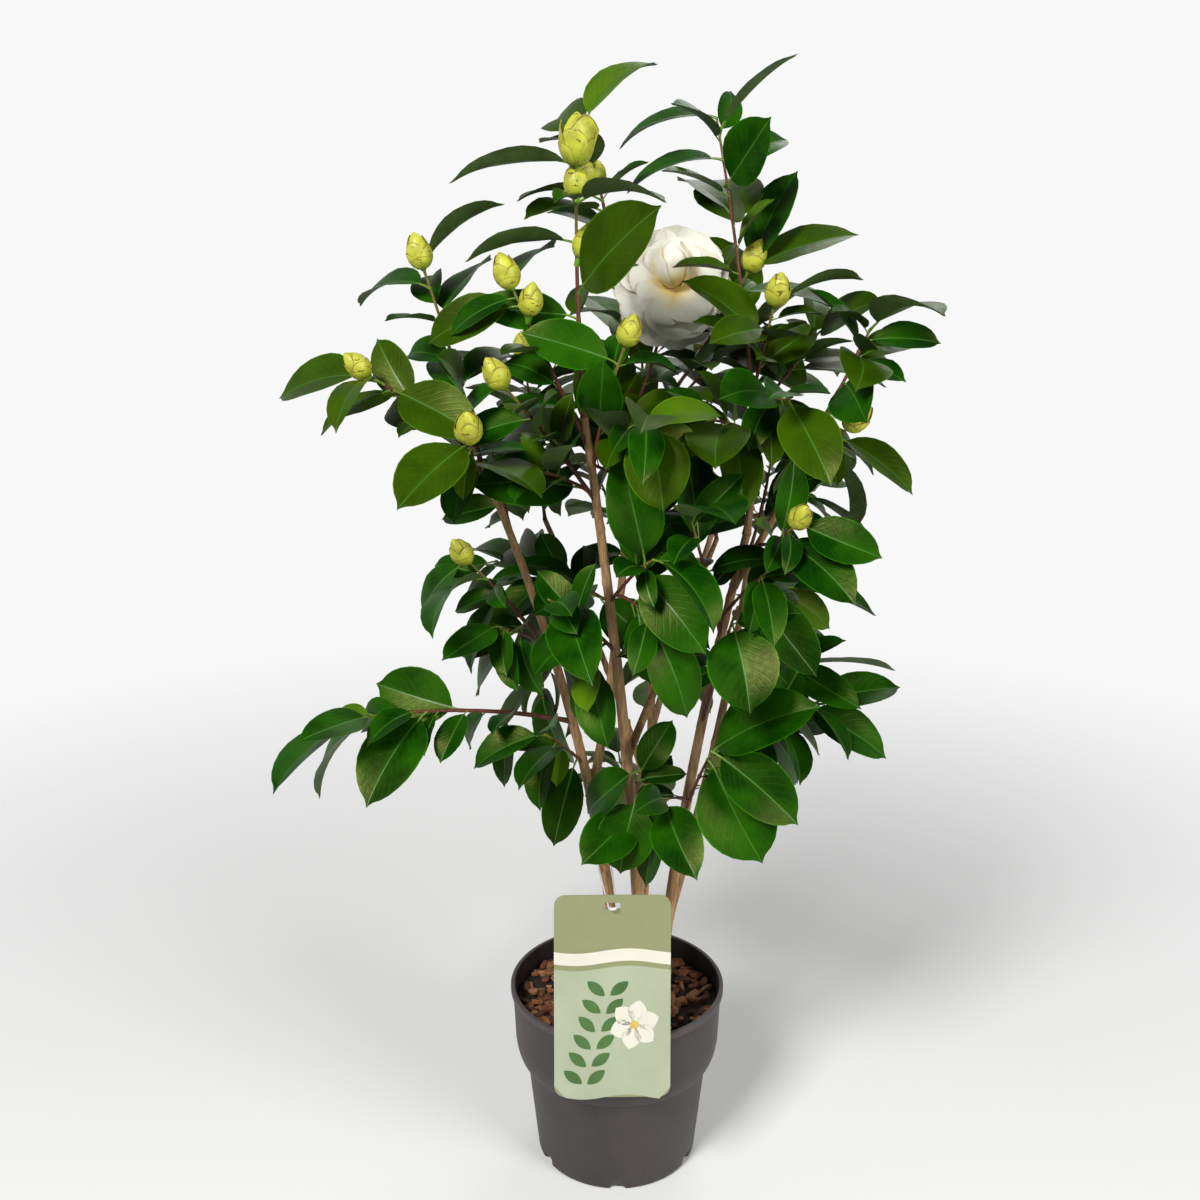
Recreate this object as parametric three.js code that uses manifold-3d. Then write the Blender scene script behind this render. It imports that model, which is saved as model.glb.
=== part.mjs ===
// A camellia shrub in its nursery pot: several slender stems that fork into boughs, with
// spurs of thick evergreen leaves, fat flower buds and one open double bloom.
// Millimetres, +Z up, origin at the centre of the pot's flat underside; -Y is the sunny side.
import * as THREE from 'three';
import { mergeVertices } from 'three/addons/utils/BufferGeometryUtils.js';
import Module from 'manifold-3d';

const wasm = await Module();
wasm.setup();

// ---- driving sizes -------------------------------------------------------------------------
const GAP = 0.3; // clearance between two pieces that touch
const SEED = 1; // start of every run of random draws
const ROOT_DEPTH = 0.8; // how far a leaf's root is sunk past the middle of its shoot

const POT = {
  rimRadius: 95, height: 164, lipHeight: 6, lipStep: 1.8, collarRadius: 91.4, collarFoot: 91,
  shoulder: 30, waistRadius: 81, footRadius: 71.5, wall: 2.2, floor: 3, sides: 32,
};
const DRAIN = { count: 6, width: 11, height: 5, depth: 9 };
const SOIL = { top: 146, clearance: 0.4, chips: 16, chipLength: 19, chipWidth: 9, chipDepth: 4 };
const CARD = {
  width: 96, height: 170, thickness: 0.9, corner: 9, footY: -105, footZ: 119, headY: -74, x: -5,
};
const SLOT = { width: 13, height: 5, fromTop: 9 };
const TIE = { share: 0.275, band: 1.2, width: 2.4, noseRadius: 2.6, reach: 4 };

const TWIG = { rootShare: 0.85, slender: 1.2, perLength: 110, tip: 1.1, sideRoot: 1.4, sideTip: 0.9 };
const LEAF = { length: 73, thickness: 1.5, stalk: 9, stalkWidth: 2 };
const BUD = { length: 28, girth: 0.34, stalk: 5 };
const BLOOM = { width: 98, petalThickness: 1.8, cup: 8 };
const SPACING = { leaf: 7.2, leading: 2.5, ownTwig: 4.5, ownLimb: 1.5, twig: 9, soil: 176 };
const SAG = [[250, 0.95], [450, 0.6], [700, 0.25], [900, 0.05]]; // how far a leaf droops, by height

// Directions that a blade turns its upper side to.
const FACING = {
  up: [-0.05, -0.42, 1], half: [-0.1, -0.75, 0.6], front: [-0.1, -0.88, 0.42],
  left: [-0.6, -0.6, 0.4], right: [0.6, -0.6, 0.4], back: [-0.05, 0.3, 1],
};
const CROWN_AXIS = [15, 5]; // the crown's middle, which leaves grow away from

// ---- materials -----------------------------------------------------------------------------
const finish = (color, roughness) => new THREE.MeshStandardMaterial({ color, roughness, metalness: 0 });
const BARK = finish(0x96694a, 0.85);
const FOLIAGE = finish(0x1b5a12, 0.4);
const POT_PLASTIC = finish(0x544b4a, 0.6);
const POTTING_MIX = finish(0x4a2a1a, 0.95);
const CARD_STOCK = finish(0xa9ad8e, 0.5);
const TIE_PLASTIC = finish(0xf0f0ec, 0.5);

// ---- growth plan ---------------------------------------------------------------------------
// A limb runs from its foot in the potting mix, or from a share of the way along the limb that
// it forks from, to its tip. The bow is what its middle stands off the straight line by.
const LIMBS = [
  { name: 'stem_left', foot: [2, 10], tip: [-108, -35, 637], bow: [40, 8, 0], radius: [5.4, 2.7] },
  { name: 'stem_middle', foot: [24, -8], tip: [-27, -62, 675], bow: [13, 0, 0], radius: [6.2, 3] },
  { name: 'stem_right', foot: [38, 8], tip: [100, -38, 580], bow: [-14, 5, 0], radius: [5.4, 3.2] },
  { name: 'bough_left_inner', on: 'stem_left', at: 0.4, tip: [9, 22, 675], bow: [16, 0, 0],
    radius: [4.2, 2.5] },
  { name: 'bough_centre_rear', on: 'stem_middle', at: 0.46, tip: [88, 88, 548], bow: [-4, -6, -8],
    radius: [3.6, 2.2] },
  { name: 'bough_right_rear', on: 'stem_right', at: 0.18, tip: [114, 52, 548], bow: [17, 8, 6],
    radius: [4.4, 2.7] },
  { name: 'bough_right_upright', on: 'stem_right', at: 1, tip: [103, -22, 690], bow: [6, 0, 0],
    radius: [3, 2.2] },
  { name: 'bough_right_outer', on: 'stem_right', at: 0.9, tip: [163, -58, 693], bow: [2, 0, -6],
    radius: [3.2, 2.2] },
  { name: 'stem_rear', foot: [20, 36], tip: [32, 122, 559], bow: [10, 0, -12], radius: [4.8, 2.6] },
  { name: 'bough_rear_left', on: 'stem_rear', at: 0.42, tip: [-65, 118, 560], bow: [14, 4, -14],
    radius: [3.4, 2.2] },
  { name: 'bough_rear_right', on: 'stem_rear', at: 0.55, tip: [114, 120, 632], bow: [-8, 6, -10],
    radius: [3.2, 2.2] },
];

// The stretch of each stem whose sunny side stays clear of leaves.
const OPEN_FRONT = { stem_middle: [0.42, 0.98], stem_left: [0.25, 0.9], stem_right: [0.3, 0.95] };

// A mass is one main shoot from a share of the way along its limb, and the shoots that fork from
// it at a share of the way along. The seeded rule adds the leaves, twigs and flower buds. The
// few leaves that show most come first, as: share of the shoot, azimuth, rise, length,
// width as a share of the length, bend, and which way the upper side faces. "buds" are the
// shares of the shoot that carry a flower bud, and "topBud" enlarges the one at its end.
// "bloom" is the azimuth and rise of an open flower at its end. "twigs" is how many side twigs
// it grows, "size" scales its leaves, "bare" is the share of it without any, "droop" how far
// they hang, and "turn" the angle that the first one starts from.
const MASSES = [
  { name: 'left_top', on: 'stem_left', at: 1, shoots: [
    { tip: [-145, -52, 783], bow: [4, 0, 0], leaves: 1, buds: [1], show: [
      [1, 25, 55, 70, 0.55, 45, 'back'],
      [0.9, 150, 10, 75, 0.5, 50, 'right'],
      [0.75, 65, 40, 75, 0.55, 20, 'left'],
      [0.35, -85, 30, 65, 0.5, 30, 'right'],
    ] },
  ] },
  { name: 'left_upper', on: 'stem_left', at: 0.965, shoots: [
    { tip: [-187, -62, 706], bow: [0, 0, 16], leaves: 1, buds: [1], droop: 0.35, show: [
      [0.8, -35, -15, 75, 0.6, 20, 'half'],
      [1, 165, -5, 75, 0.65, 25, 'up'],
      [0.9, -115, 10, 75, 0.4, 75, 'up'],
    ] },
    { at: 0.1, tip: [-109, -105, 664], bow: [0, -4, -8], leaves: 1, buds: [1], show: [
      [0.95, -125, -20, 75, 0.6, 20, 'half'],
      [0.45, -45, 0, 70, 0.65, 25, 'right'],
    ] },
  ] },
  { name: 'left_back', on: 'stem_left', at: 0.86, shoots: [
    { tip: [-108, 60, 636], bow: [0, 0, -6], leaves: 3 },
  ] },
  { name: 'left_mid', on: 'stem_left', at: 0.66, shoots: [
    { tip: [-116, -68, 565], bow: [0, 0, 8], leaves: 2, buds: [1], droop: 1.1, show: [
      [1, 155, -40, 70, 0.4, 30, 'left'],
      [0.8, -125, 10, 90, 0.4, 60, 'left'],
    ] },
    { at: 0.12, tip: [-93, -70, 513], bow: [0, 0, 6], leaves: 2, size: 0.8, droop: 1.2, show: [
      [0.65, 150, -45, 75, 0.5, 30, 'up'],
    ] },
  ] },
  { name: 'left_low', on: 'stem_left', at: 0.545, shoots: [
    { tip: [-205, -62, 436], bow: [0, 0, 16], leaves: 1, size: 1.12, droop: 0.55, bare: 0.22, show: [
      [0.3, -120, -70, 55, 0.5, 20, 'left'],
      [0.53, 170, 15, 70, 0.7, 15, 'front'],
      [0.7, -120, -30, 85, 0.6, 20, 'half'],
      [0.95, -115, 15, 75, 0.4, 25, 'half'],
      [1, -130, -5, 90, 0.55, 30, 'back'],
    ] },
  ] },
  { name: 'left_low_inner', on: 'stem_left', at: 0.465, shoots: [
    { tip: [-60, -55, 419], bow: [0, 0, 4], leaves: 1, size: 0.95, droop: 1.3, show: [
      [0.55, -115, 10, 75, 0.45, 30, 'back'],
      [0.15, -125, -60, 70, 0.5, 25, 'half'],
    ] },
  ] },
  { name: 'middle_top', on: 'stem_middle', at: 1, shoots: [
    { tip: [-32, -66, 854], bow: [-4, 0, 0], leaves: 1, buds: [1, 0.86, 0.62], topBud: 1.25, show: [
      [0.5, -55, 35, 95, 0.55, 15, 'front'],
      [1, -170, 5, 85, 0.4, 30, 'back'],
      [0.85, -45, 15, 85, 0.45, 35, 'back'],
      [0.7, 180, 5, 75, 0.5, 35, 'back'],
      [0.4, -170, 10, 70, 0.45, 20, 'front'],
    ] },
  ] },
  { name: 'middle_top_left', on: 'stem_middle', at: 0.955, shoots: [
    { tip: [-78, -84, 770], bow: [4, 0, -8], leaves: 1, buds: [1, 0.82], show: [
      [1, 70, 35, 65, 0.6, 30, 'left'],
      [0.9, 175, -15, 70, 0.55, 25, 'half'],
      [0.15, 70, 45, 70, 0.55, 25, 'right'],
    ] },
  ] },
  { name: 'middle_bud', on: 'stem_middle', at: 0.92, shoots: [
    { tip: [3, -90, 730], bow: [-6, 0, 0], leaves: 1, buds: [1], show: [
      [0.85, -170, 20, 66, 0.55, 20, 'front'],
      [0.35, -90, 50, 55, 0.65, 20, 'front'],
    ] },
    { at: 0.12, tip: [21, -105, 679], bow: [0, 0, 6], leaves: 3, size: 1.05, show: [
      [0.9, -75, -55, 60, 0.8, 25, 'front'],
    ] },
  ] },
  { name: 'middle_left', on: 'stem_middle', at: 0.875, shoots: [
    { tip: [-84, -90, 700], bow: [0, 0, 6], leaves: 3, buds: [1], show: [
      [1, 140, -25, 70, 0.5, 30, 'up'],
    ] },
    { at: 0.1, tip: [-78, -85, 639], bow: [0, 0, 8], leaves: 5, size: 1.05, show: [
      [0.05, -155, 10, 80, 0.6, 20, 'half'],
    ] },
  ] },
  { name: 'middle_right_mid', on: 'stem_middle', at: 0.72, shoots: [
    { tip: [25, -102, 575], bow: [0, 0, 8], leaves: 4 },
    { at: 0.14, tip: [22, -98, 527], bow: [0, 0, 8], leaves: 4 },
  ] },
  { name: 'middle_left_low', on: 'stem_middle', at: 0.64, shoots: [
    { tip: [-54, -100, 544], bow: [0, 0, 8], leaves: 3, size: 0.95, show: [
      [0.35, -120, 0, 75, 0.5, 25, 'up'],
    ] },
    { at: 0.14, tip: [-23, -78, 483], bow: [0, 0, 8], leaves: 4, size: 0.95 },
  ] },
  { name: 'middle_foot', on: 'stem_middle', at: 0.33, shoots: [
    { tip: [17, -60, 392], bow: [0, 0, 8], leaves: 2, size: 1.05, bare: 0.3, show: [
      [0.55, -120, -65, 60, 0.8, 15, 'front'],
      [0.95, 150, -40, 70, 0.55, 20, 'up'],
      [0.25, -130, -15, 60, 0.75, 20, 'half'],
    ] },
  ] },
  { name: 'inner_top', on: 'bough_left_inner', at: 1, shoots: [
    { tip: [-27, 6, 887], bow: [12, 0, 0], leaves: 3, buds: [0.78], twigs: 1, size: 0.95, turn: 90,
      show: [
      [1, 20, 60, 75, 0.6, 55, 'up'],
      [0.7, -135, 10, 75, 0.5, 30, 'up'],
    ] },
  ] },
  { name: 'bloom_spray', on: 'bough_left_inner', at: 0.95, shoots: [
    { tip: [42, 18, 769], bow: [4, 8, -6], leaves: 2, bloom: [-84, 14], show: [
      [0.15, 55, -75, 75, 0.65, 25, 'half'],
    ] },
  ] },
  { name: 'inner_right', on: 'bough_left_inner', at: 0.9, shoots: [
    { tip: [99, -6, 780], bow: [0, -8, -16], leaves: 1, buds: [1], show: [
      [1, 5, 70, 75, 0.55, 15, 'left'],
      [1, -10, 30, 80, 0.55, 30, 'up'],
      [0.45, 5, 45, 80, 0.5, 25, 'back'],
      [0.9, -30, 5, 75, 0.5, 30, 'up'],
    ] },
    { at: 0.12, tip: [93, 28, 734], bow: [0, 0, -14], leaves: 4, show: [
      [1, -15, -30, 70, 0.6, 30, 'right'],
    ] },
  ] },
  { name: 'inner_left', on: 'bough_left_inner', at: 0.82, shoots: [
    { tip: [-69, 35, 653], bow: [0, 0, -8], leaves: 7, size: 1.05 },
  ] },
  { name: 'inner_mid', on: 'bough_left_inner', at: 0.62, shoots: [
    { tip: [57, 0, 625], bow: [0, 0, -4], leaves: 7, size: 1.05 },
  ] },
  { name: 'inner_left_low', on: 'bough_left_inner', at: 0.5, shoots: [
    { tip: [-62, 40, 532], bow: [0, 0, 0], leaves: 5, show: [
      [0.25, -55, -20, 75, 0.55, 25, 'front'],
      [0.3, -120, 10, 75, 0.55, 25, 'half'],
    ] },
  ] },
  { name: 'right_top', on: 'bough_right_upright', at: 1, shoots: [
    { tip: [72, -6, 891], bow: [4, 0, 0], leaves: 1, size: 0.75, turn: 100, show: [
      [0.75, -75, 35, 65, 0.65, 20, 'front'],
      [0.6, 90, 40, 70, 0.8, 20, 'front'],
      [0.95, -45, 45, 75, 0.35, 20, 'up'],
      [1, 165, 5, 75, 0.5, 45, 'up'],
      [0.85, 165, 0, 75, 0.5, 40, 'up'],
      [0.65, 125, 35, 65, 0.5, 25, 'up'],
    ] },
  ] },
  { name: 'right_bud', on: 'bough_right_upright', at: 0.95, shoots: [
    { tip: [114, -52, 756], bow: [-2, 0, 0], leaves: 2, buds: [1], show: [
      [1, 20, 30, 65, 0.5, 35, 'back'],
    ] },
    { at: 0.12, tip: [124, -80, 690], bow: [0, 0, -4], leaves: 2, show: [
      [0.4, -45, -25, 65, 0.42, 30, 'half'],
    ] },
  ] },
  { name: 'right_second', on: 'bough_right_upright', at: 0.86, shoots: [
    { tip: [155, 12, 729], bow: [0, 0, -6], leaves: 2, show: [
      [1, -70, 30, 70, 0.5, 30, 'half'],
    ] },
  ] },
  { name: 'right_inner', on: 'bough_right_upright', at: 0.7, shoots: [
    { tip: [63, -70, 674], bow: [0, 0, 6], leaves: 4, size: 1.05, show: [
      [0.55, -100, -5, 75, 0.65, 25, 'half'],
      [0.3, 45, -5, 65, 0.6, 30, 'left'],
    ] },
  ] },
  { name: 'outer_top', on: 'bough_right_outer', at: 1, shoots: [
    { tip: [184, -60, 739], bow: [0, 0, 0], leaves: 0, show: [
      [1, -60, 35, 75, 0.6, 55, 'back'],
      [0.55, -95, 0, 70, 0.6, 30, 'up'],
      [0.15, -95, -10, 70, 0.6, 20, 'left'],
    ] },
  ] },
  { name: 'outer_side', on: 'bough_right_outer', at: 0.78, shoots: [
    { tip: [168, -78, 669], bow: [0, 0, -6], leaves: 2, buds: [1] },
    { at: 0.14, tip: [165, 25, 645], bow: [0, 0, -6], leaves: 3 },
  ] },
  { name: 'outer_low', on: 'bough_right_outer', at: 0.24, shoots: [
    { tip: [129, -98, 600], bow: [0, 0, -8], leaves: 2, buds: [1], size: 1.1, show: [
      [0.6, -60, -15, 80, 0.5, 25, 'half'],
      [1, -30, -10, 60, 0.6, 25, 'half'],
    ] },
  ] },
  { name: 'right_mid_left', on: 'stem_right', at: 0.8, shoots: [
    { tip: [52, -92, 603], bow: [0, 0, 6], leaves: 3, size: 1.1, show: [
      [0.1, -155, -5, 80, 0.5, 30, 'half'],
    ] },
    { at: 0.12, tip: [113, -85, 563], bow: [0, 0, 6], leaves: 5, size: 0.95 },
  ] },
  { name: 'right_heart', on: 'stem_right', at: 0.62, shoots: [
    { tip: [88, -98, 538], bow: [0, 0, 8], leaves: 2, size: 1.1, droop: 1.3, show: [
      [0.85, -80, -45, 65, 0.85, 25, 'front'],
    ] },
  ] },
  { name: 'right_foot', on: 'stem_right', at: 0.42, shoots: [
    { tip: [74, -72, 411], bow: [0, 0, 8], leaves: 1, size: 1.18, droop: 1.2, show: [
      [1, -30, -30, 80, 0.6, 20, 'half'],
      [0.85, -45, -50, 85, 0.75, 20, 'half'],
    ] },
    { at: 0.18, tip: [38, -50, 360], bow: [0, 0, 5], leaves: 2, size: 0.95, droop: 1.4, show: [
      [1, -75, -20, 70, 0.6, 25, 'front'],
      [0.9, -145, -65, 70, 0.45, 25, 'left'],
    ] },
  ] },
  { name: 'right_rear_top', on: 'bough_right_rear', at: 1, shoots: [
    { tip: [131, 60, 632], bow: [4, 0, 0], leaves: 3, buds: [1], show: [
      [0.25, -5, 45, 65, 0.55, 20, 'up'],
      [0.45, -65, 30, 75, 0.5, 25, 'left'],
      [0.3, -155, 0, 85, 0.5, 25, 'up'],
    ] },
  ] },
  { name: 'right_rear_side', on: 'bough_right_rear', at: 0.9, shoots: [
    { tip: [140, 25, 522], bow: [0, 0, -6], leaves: 2, show: [
      [0.65, 0, -30, 60, 0.5, 25, 'half'],
    ] },
  ] },
  { name: 'right_low_upper', on: 'bough_right_rear', at: 0.62, shoots: [
    { tip: [152, -4, 462], bow: [0, 0, 4], leaves: 1, show: [
      [1, -125, -25, 70, 0.55, 25, 'front'],
      [0.85, -55, -5, 70, 0.45, 25, 'half'],
      [1, 10, 5, 75, 0.4, 25, 'back'],
    ] },
  ] },
  { name: 'right_low', on: 'bough_right_rear', at: 0.48, shoots: [
    { tip: [162, -30, 437], bow: [0, 0, -2], leaves: 2, size: 1.1, droop: 0.8, show: [
      [0.85, -15, -20, 75, 0.55, 25, 'right'],
      [0.45, 15, -50, 70, 0.6, 25, 'right'],
    ] },
  ] },
  { name: 'right_rear_back', on: 'bough_right_rear', at: 0.75, shoots: [
    { tip: [136, 110, 487], bow: [0, 0, -6], leaves: 4 },
  ] },
  { name: 'centre_rear_top', on: 'bough_centre_rear', at: 1, shoots: [
    { tip: [76, 110, 703], bow: [0, 0, 0], leaves: 7, buds: [1], twigs: 1 },
  ] },
  { name: 'rear_top', on: 'stem_rear', at: 1, shoots: [
    { tip: [20, 128, 728], bow: [0, 0, 0], leaves: 7, buds: [1], twigs: 1, show: [
      [0.8, -95, -25, 75, 0.55, 25, 'left'],
    ] },
  ] },
  { name: 'rear_side', on: 'stem_rear', at: 0.8, shoots: [
    { tip: [-15, 165, 588], bow: [0, 0, 0], leaves: 6 },
  ] },
  { name: 'rear_mid', on: 'stem_rear', at: 0.62, shoots: [
    { tip: [62, 165, 432], bow: [0, 0, 0], leaves: 7 },
  ] },
  { name: 'rear_low', on: 'stem_rear', at: 0.33, shoots: [
    { tip: [4, 150, 314], bow: [0, 0, 0], leaves: 5, size: 1.05 },
  ] },
  { name: 'rear_left_top', on: 'bough_rear_left', at: 1, shoots: [
    { tip: [-81, 110, 703], bow: [0, 0, 0], leaves: 7, buds: [1], twigs: 1 },
  ] },
  { name: 'rear_left_side', on: 'bough_rear_left', at: 0.7, shoots: [
    { tip: [-110, 110, 524], bow: [0, 0, 0], leaves: 4, show: [
      [0.35, -110, 5, 70, 0.5, 25, 'half'],
    ] },
    { at: 0.14, tip: [-70, 95, 405], bow: [0, 0, 0], leaves: 3 },
  ] },
  { name: 'rear_right_top', on: 'bough_rear_right', at: 1, shoots: [
    { tip: [112, 95, 722], bow: [0, 0, 0], leaves: 6, twigs: 1, show: [
      [1, -30, 50, 70, 0.55, 25, 'up'],
    ] },
  ] },
  { name: 'rear_right_side', on: 'bough_rear_right', at: 0.7, shoots: [
    { tip: [179, 120, 587], bow: [0, 0, 0], leaves: 7 },
  ] },
];

// ---- random draws, directions and curves ---------------------------------------------------
function makeDraw(seed) {
  let state = seed;
  const draw = (low, high) => {
    state = (state * 1664525 + 1013904223) % 4294967296;
    return low + ((high - low) * state) / 4294967296;
  };
  for (let i = 0; i < 3; i += 1) draw(0, 1);
  return draw;
}

const vec = (values) => new THREE.Vector3(...values);
const sum = (...terms) => terms.reduce((total, term) => total.add(term), new THREE.Vector3());
const times = (v, factor) => v.clone().multiplyScalar(factor);
const minus = (a, b) => a.clone().sub(b);
const cross = (a, b) => a.clone().cross(b);
const unit = (v) => v.clone().normalize();
const radians = THREE.MathUtils.degToRad;
const lerp = THREE.MathUtils.lerp;
const UP = new THREE.Vector3(0, 0, 1);

function heading(azimuth, rise) {
  const a = radians(azimuth);
  const r = radians(rise);
  return new THREE.Vector3(Math.cos(a) * Math.cos(r), Math.sin(a) * Math.cos(r), Math.sin(r));
}

// Value at x of the broken line through the pairs [x, y].
function along(pairs, x) {
  if (x <= pairs[0][0]) return pairs[0][1];
  for (let i = 1; i < pairs.length; i += 1) {
    const [x0, y0] = pairs[i - 1];
    const [x1, y1] = pairs[i];
    if (x <= x1) return y0 + ((y1 - y0) * (x - x0)) / (x1 - x0);
  }
  return pairs[pairs.length - 1][1];
}

// A branch is a quadratic curve from a to c that leans towards b, with a tapering radius.
function makeBranch(a, tip, bow, radius) {
  const b = sum(times(sum(a, tip), 0.5), bow);
  return { a, b, c: tip, radius };
}

function branchPoint(branch, t) {
  return sum(times(branch.a, (1 - t) ** 2), times(branch.b, 2 * t * (1 - t)), times(branch.c, t * t));
}

function branchHeading(branch, t) {
  return unit(sum(times(minus(branch.b, branch.a), 2 * (1 - t)), times(minus(branch.c, branch.b), 2 * t)));
}

const radiusAt = (branch, t) => lerp(branch.radius[0], branch.radius[1], t);

// Direction that leaves a shoot at an angle. The turn is a compass bearing on a steep shoot,
// and on a level one it is counted round the shoot from its side.
function leaving(direction, turn, spread) {
  const r = radians(turn);
  const s = radians(spread);
  let aside;
  if (direction.z > 0.8) {
    const bearing = new THREE.Vector3(Math.cos(r), Math.sin(r), 0);
    aside = unit(minus(bearing, times(direction, bearing.dot(direction))));
  } else {
    const side = unit(cross(direction, UP));
    const over = cross(side, direction);
    aside = unit(sum(times(side, Math.cos(r)), times(over, Math.sin(r) * 0.6)));
  }
  return unit(sum(times(direction, Math.cos(s)), times(aside, Math.sin(s))));
}

// ---- leaf blades ---------------------------------------------------------------------------
// Half width of a blade, as a share of its widest, by the share of its length.
const LEAF_OUTLINE = [
  [0, 0], [0.06, 0.34], [0.15, 0.66], [0.28, 0.92], [0.42, 1], [0.56, 0.97], [0.7, 0.83], [0.82, 0.6],
  [0.91, 0.32], [0.97, 0.11], [1, 0],
];
const PETAL_OUTLINE = [[0, 0], [0.1, 0.4], [0.3, 0.78], [0.55, 1], [0.75, 0.98], [0.9, 0.74], [1, 0]];

// Point of a blade at a share t of its length and s of its half width. The midrib is an arc
// that turns down by the bend, and the two halves rise from it by the fold, like a shallow V.
function bladePoint(blade, t, s, lift = 0) {
  const turn = blade.bend * t;
  const run = (blade.length * Math.sin(turn)) / blade.bend;
  const drop = (blade.length * (1 - Math.cos(turn))) / blade.bend;
  const over = sum(times(blade.along, Math.sin(turn)), times(blade.normal, Math.cos(turn)));
  const half = (blade.width / 2) * along(blade.outline, t);
  return sum(
    blade.base, times(blade.along, run), times(blade.normal, -drop),
    times(blade.side, half * s * Math.cos(blade.fold)),
    times(over, half * Math.abs(s) * Math.sin(blade.fold) + lift),
  );
}

// A blade that grows from a root on its shoot, leaves it along one way and runs on along another.
function makeBlade(root, leaves, runs, size, facing) {
  const out = new THREE.Vector3(root.x - CROWN_AXIS[0], root.y - CROWN_AXIS[1], 0);
  out.divideScalar(Math.max(60, out.length()));
  const light = sum(vec(FACING[facing]), times(out, facing === 'up' ? 0.45 : 0));
  let normal = minus(light, times(runs, light.dot(runs)));
  if (normal.length() < 0.2) normal = minus(leaves, times(runs, leaves.dot(runs)));
  normal.normalize();
  const side = cross(runs, normal);
  const roll = radians(size.roll);
  return {
    root, along: runs,
    normal: sum(times(normal, Math.cos(roll)), times(side, Math.sin(roll))),
    side: sum(times(side, Math.cos(roll)), times(normal, -Math.sin(roll))),
    base: sum(root, times(unit(sum(leaves, runs)), LEAF.stalk)),
    length: size.length, width: size.length * size.width,
    bend: radians(size.bend), fold: radians(size.fold),
    outline: LEAF_OUTLINE, thickness: LEAF.thickness,
  };
}

const STATIONS = Array.from({ length: 8 }, (_, i) => 0.03 + (0.93 * i) / 7);
const ACROSS = [-0.8, -0.4, 0, 0.4, 0.8];

function bladeSamples(blade, fromStation) {
  return STATIONS.slice(fromStation).flatMap((t) => ACROSS.map((s) => bladePoint(blade, t, s)));
}

// ---- the space that is taken ---------------------------------------------------------------
// Each ball of the space has a centre, a radius and an owner.
const taken = [];

function take(points, radius, owner) {
  for (const centre of points) taken.push({ centre, radius, owner });
}

function isClear(points, gap, passing) {
  const middle = times(sum(...points), 1 / points.length);
  const reach = Math.max(...points.map((point) => point.distanceTo(middle)));
  return taken.every(({ centre, radius, owner }) => {
    if (passing.includes(owner) || centre.distanceTo(middle) >= reach + gap + radius) return true;
    return points.every((point) => point.distanceTo(centre) - radius > gap);
  });
}

const steps = (from, to, count) =>
  Array.from({ length: count }, (_, i) => from + ((to - from) * i) / (count - 1));

// ---- growing the plant ---------------------------------------------------------------------
function growLimbs() {
  const limbs = {};
  for (const row of LIMBS) {
    const foot = row.foot ? vec([...row.foot, SOIL.top + GAP]) : branchPoint(limbs[row.on], row.at);
    limbs[row.name] = makeBranch(foot, vec(row.tip), vec(row.bow), row.radius);
    limbs[row.name].grounded = Boolean(row.foot);
  }
  for (const [name, limb] of Object.entries(limbs)) {
    for (const t of steps(0, 1, 60)) take([branchPoint(limb, t)], radiusAt(limb, t), `limb ${name}`);
  }
  // The sunny side of each stem stays open, so that the stem shows between the leaves.
  for (const [name, [low, high]] of Object.entries(OPEN_FRONT)) {
    for (const t of steps(low, high, Math.floor((high - low) * 45))) {
      const foot = branchPoint(limbs[name], t);
      for (let d = 14; d < 100; d += 12) take([sum(foot, new THREE.Vector3(0, -d, d * 0.27))], 1.5, 'front');
    }
  }
  return limbs;
}

function growBloom() {
  const mass = MASSES.find(({ shoots }) => shoots[0].bloom);
  const [plan] = mass.shoots;
  const direction = heading(...plan.bloom);
  const side = unit(cross(direction, UP));
  const over = cross(side, direction);
  const base = vec(plan.tip);
  for (const [radius, height] of [[0, 0.22], [0.2, 0.25], [0.4, 0.3], [0.48, 0.3]]) {
    for (let k = 0; k < 12; k += 1) {
      const a = (k * Math.PI) / 6;
      const across = sum(times(side, Math.cos(a) * radius), times(over, Math.sin(a) * radius));
      take([sum(base, times(sum(times(direction, height), across), BLOOM.width))], 7, 'bloom');
    }
  }
  return { mass: mass.name, base, direction, side, over };
}

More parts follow.
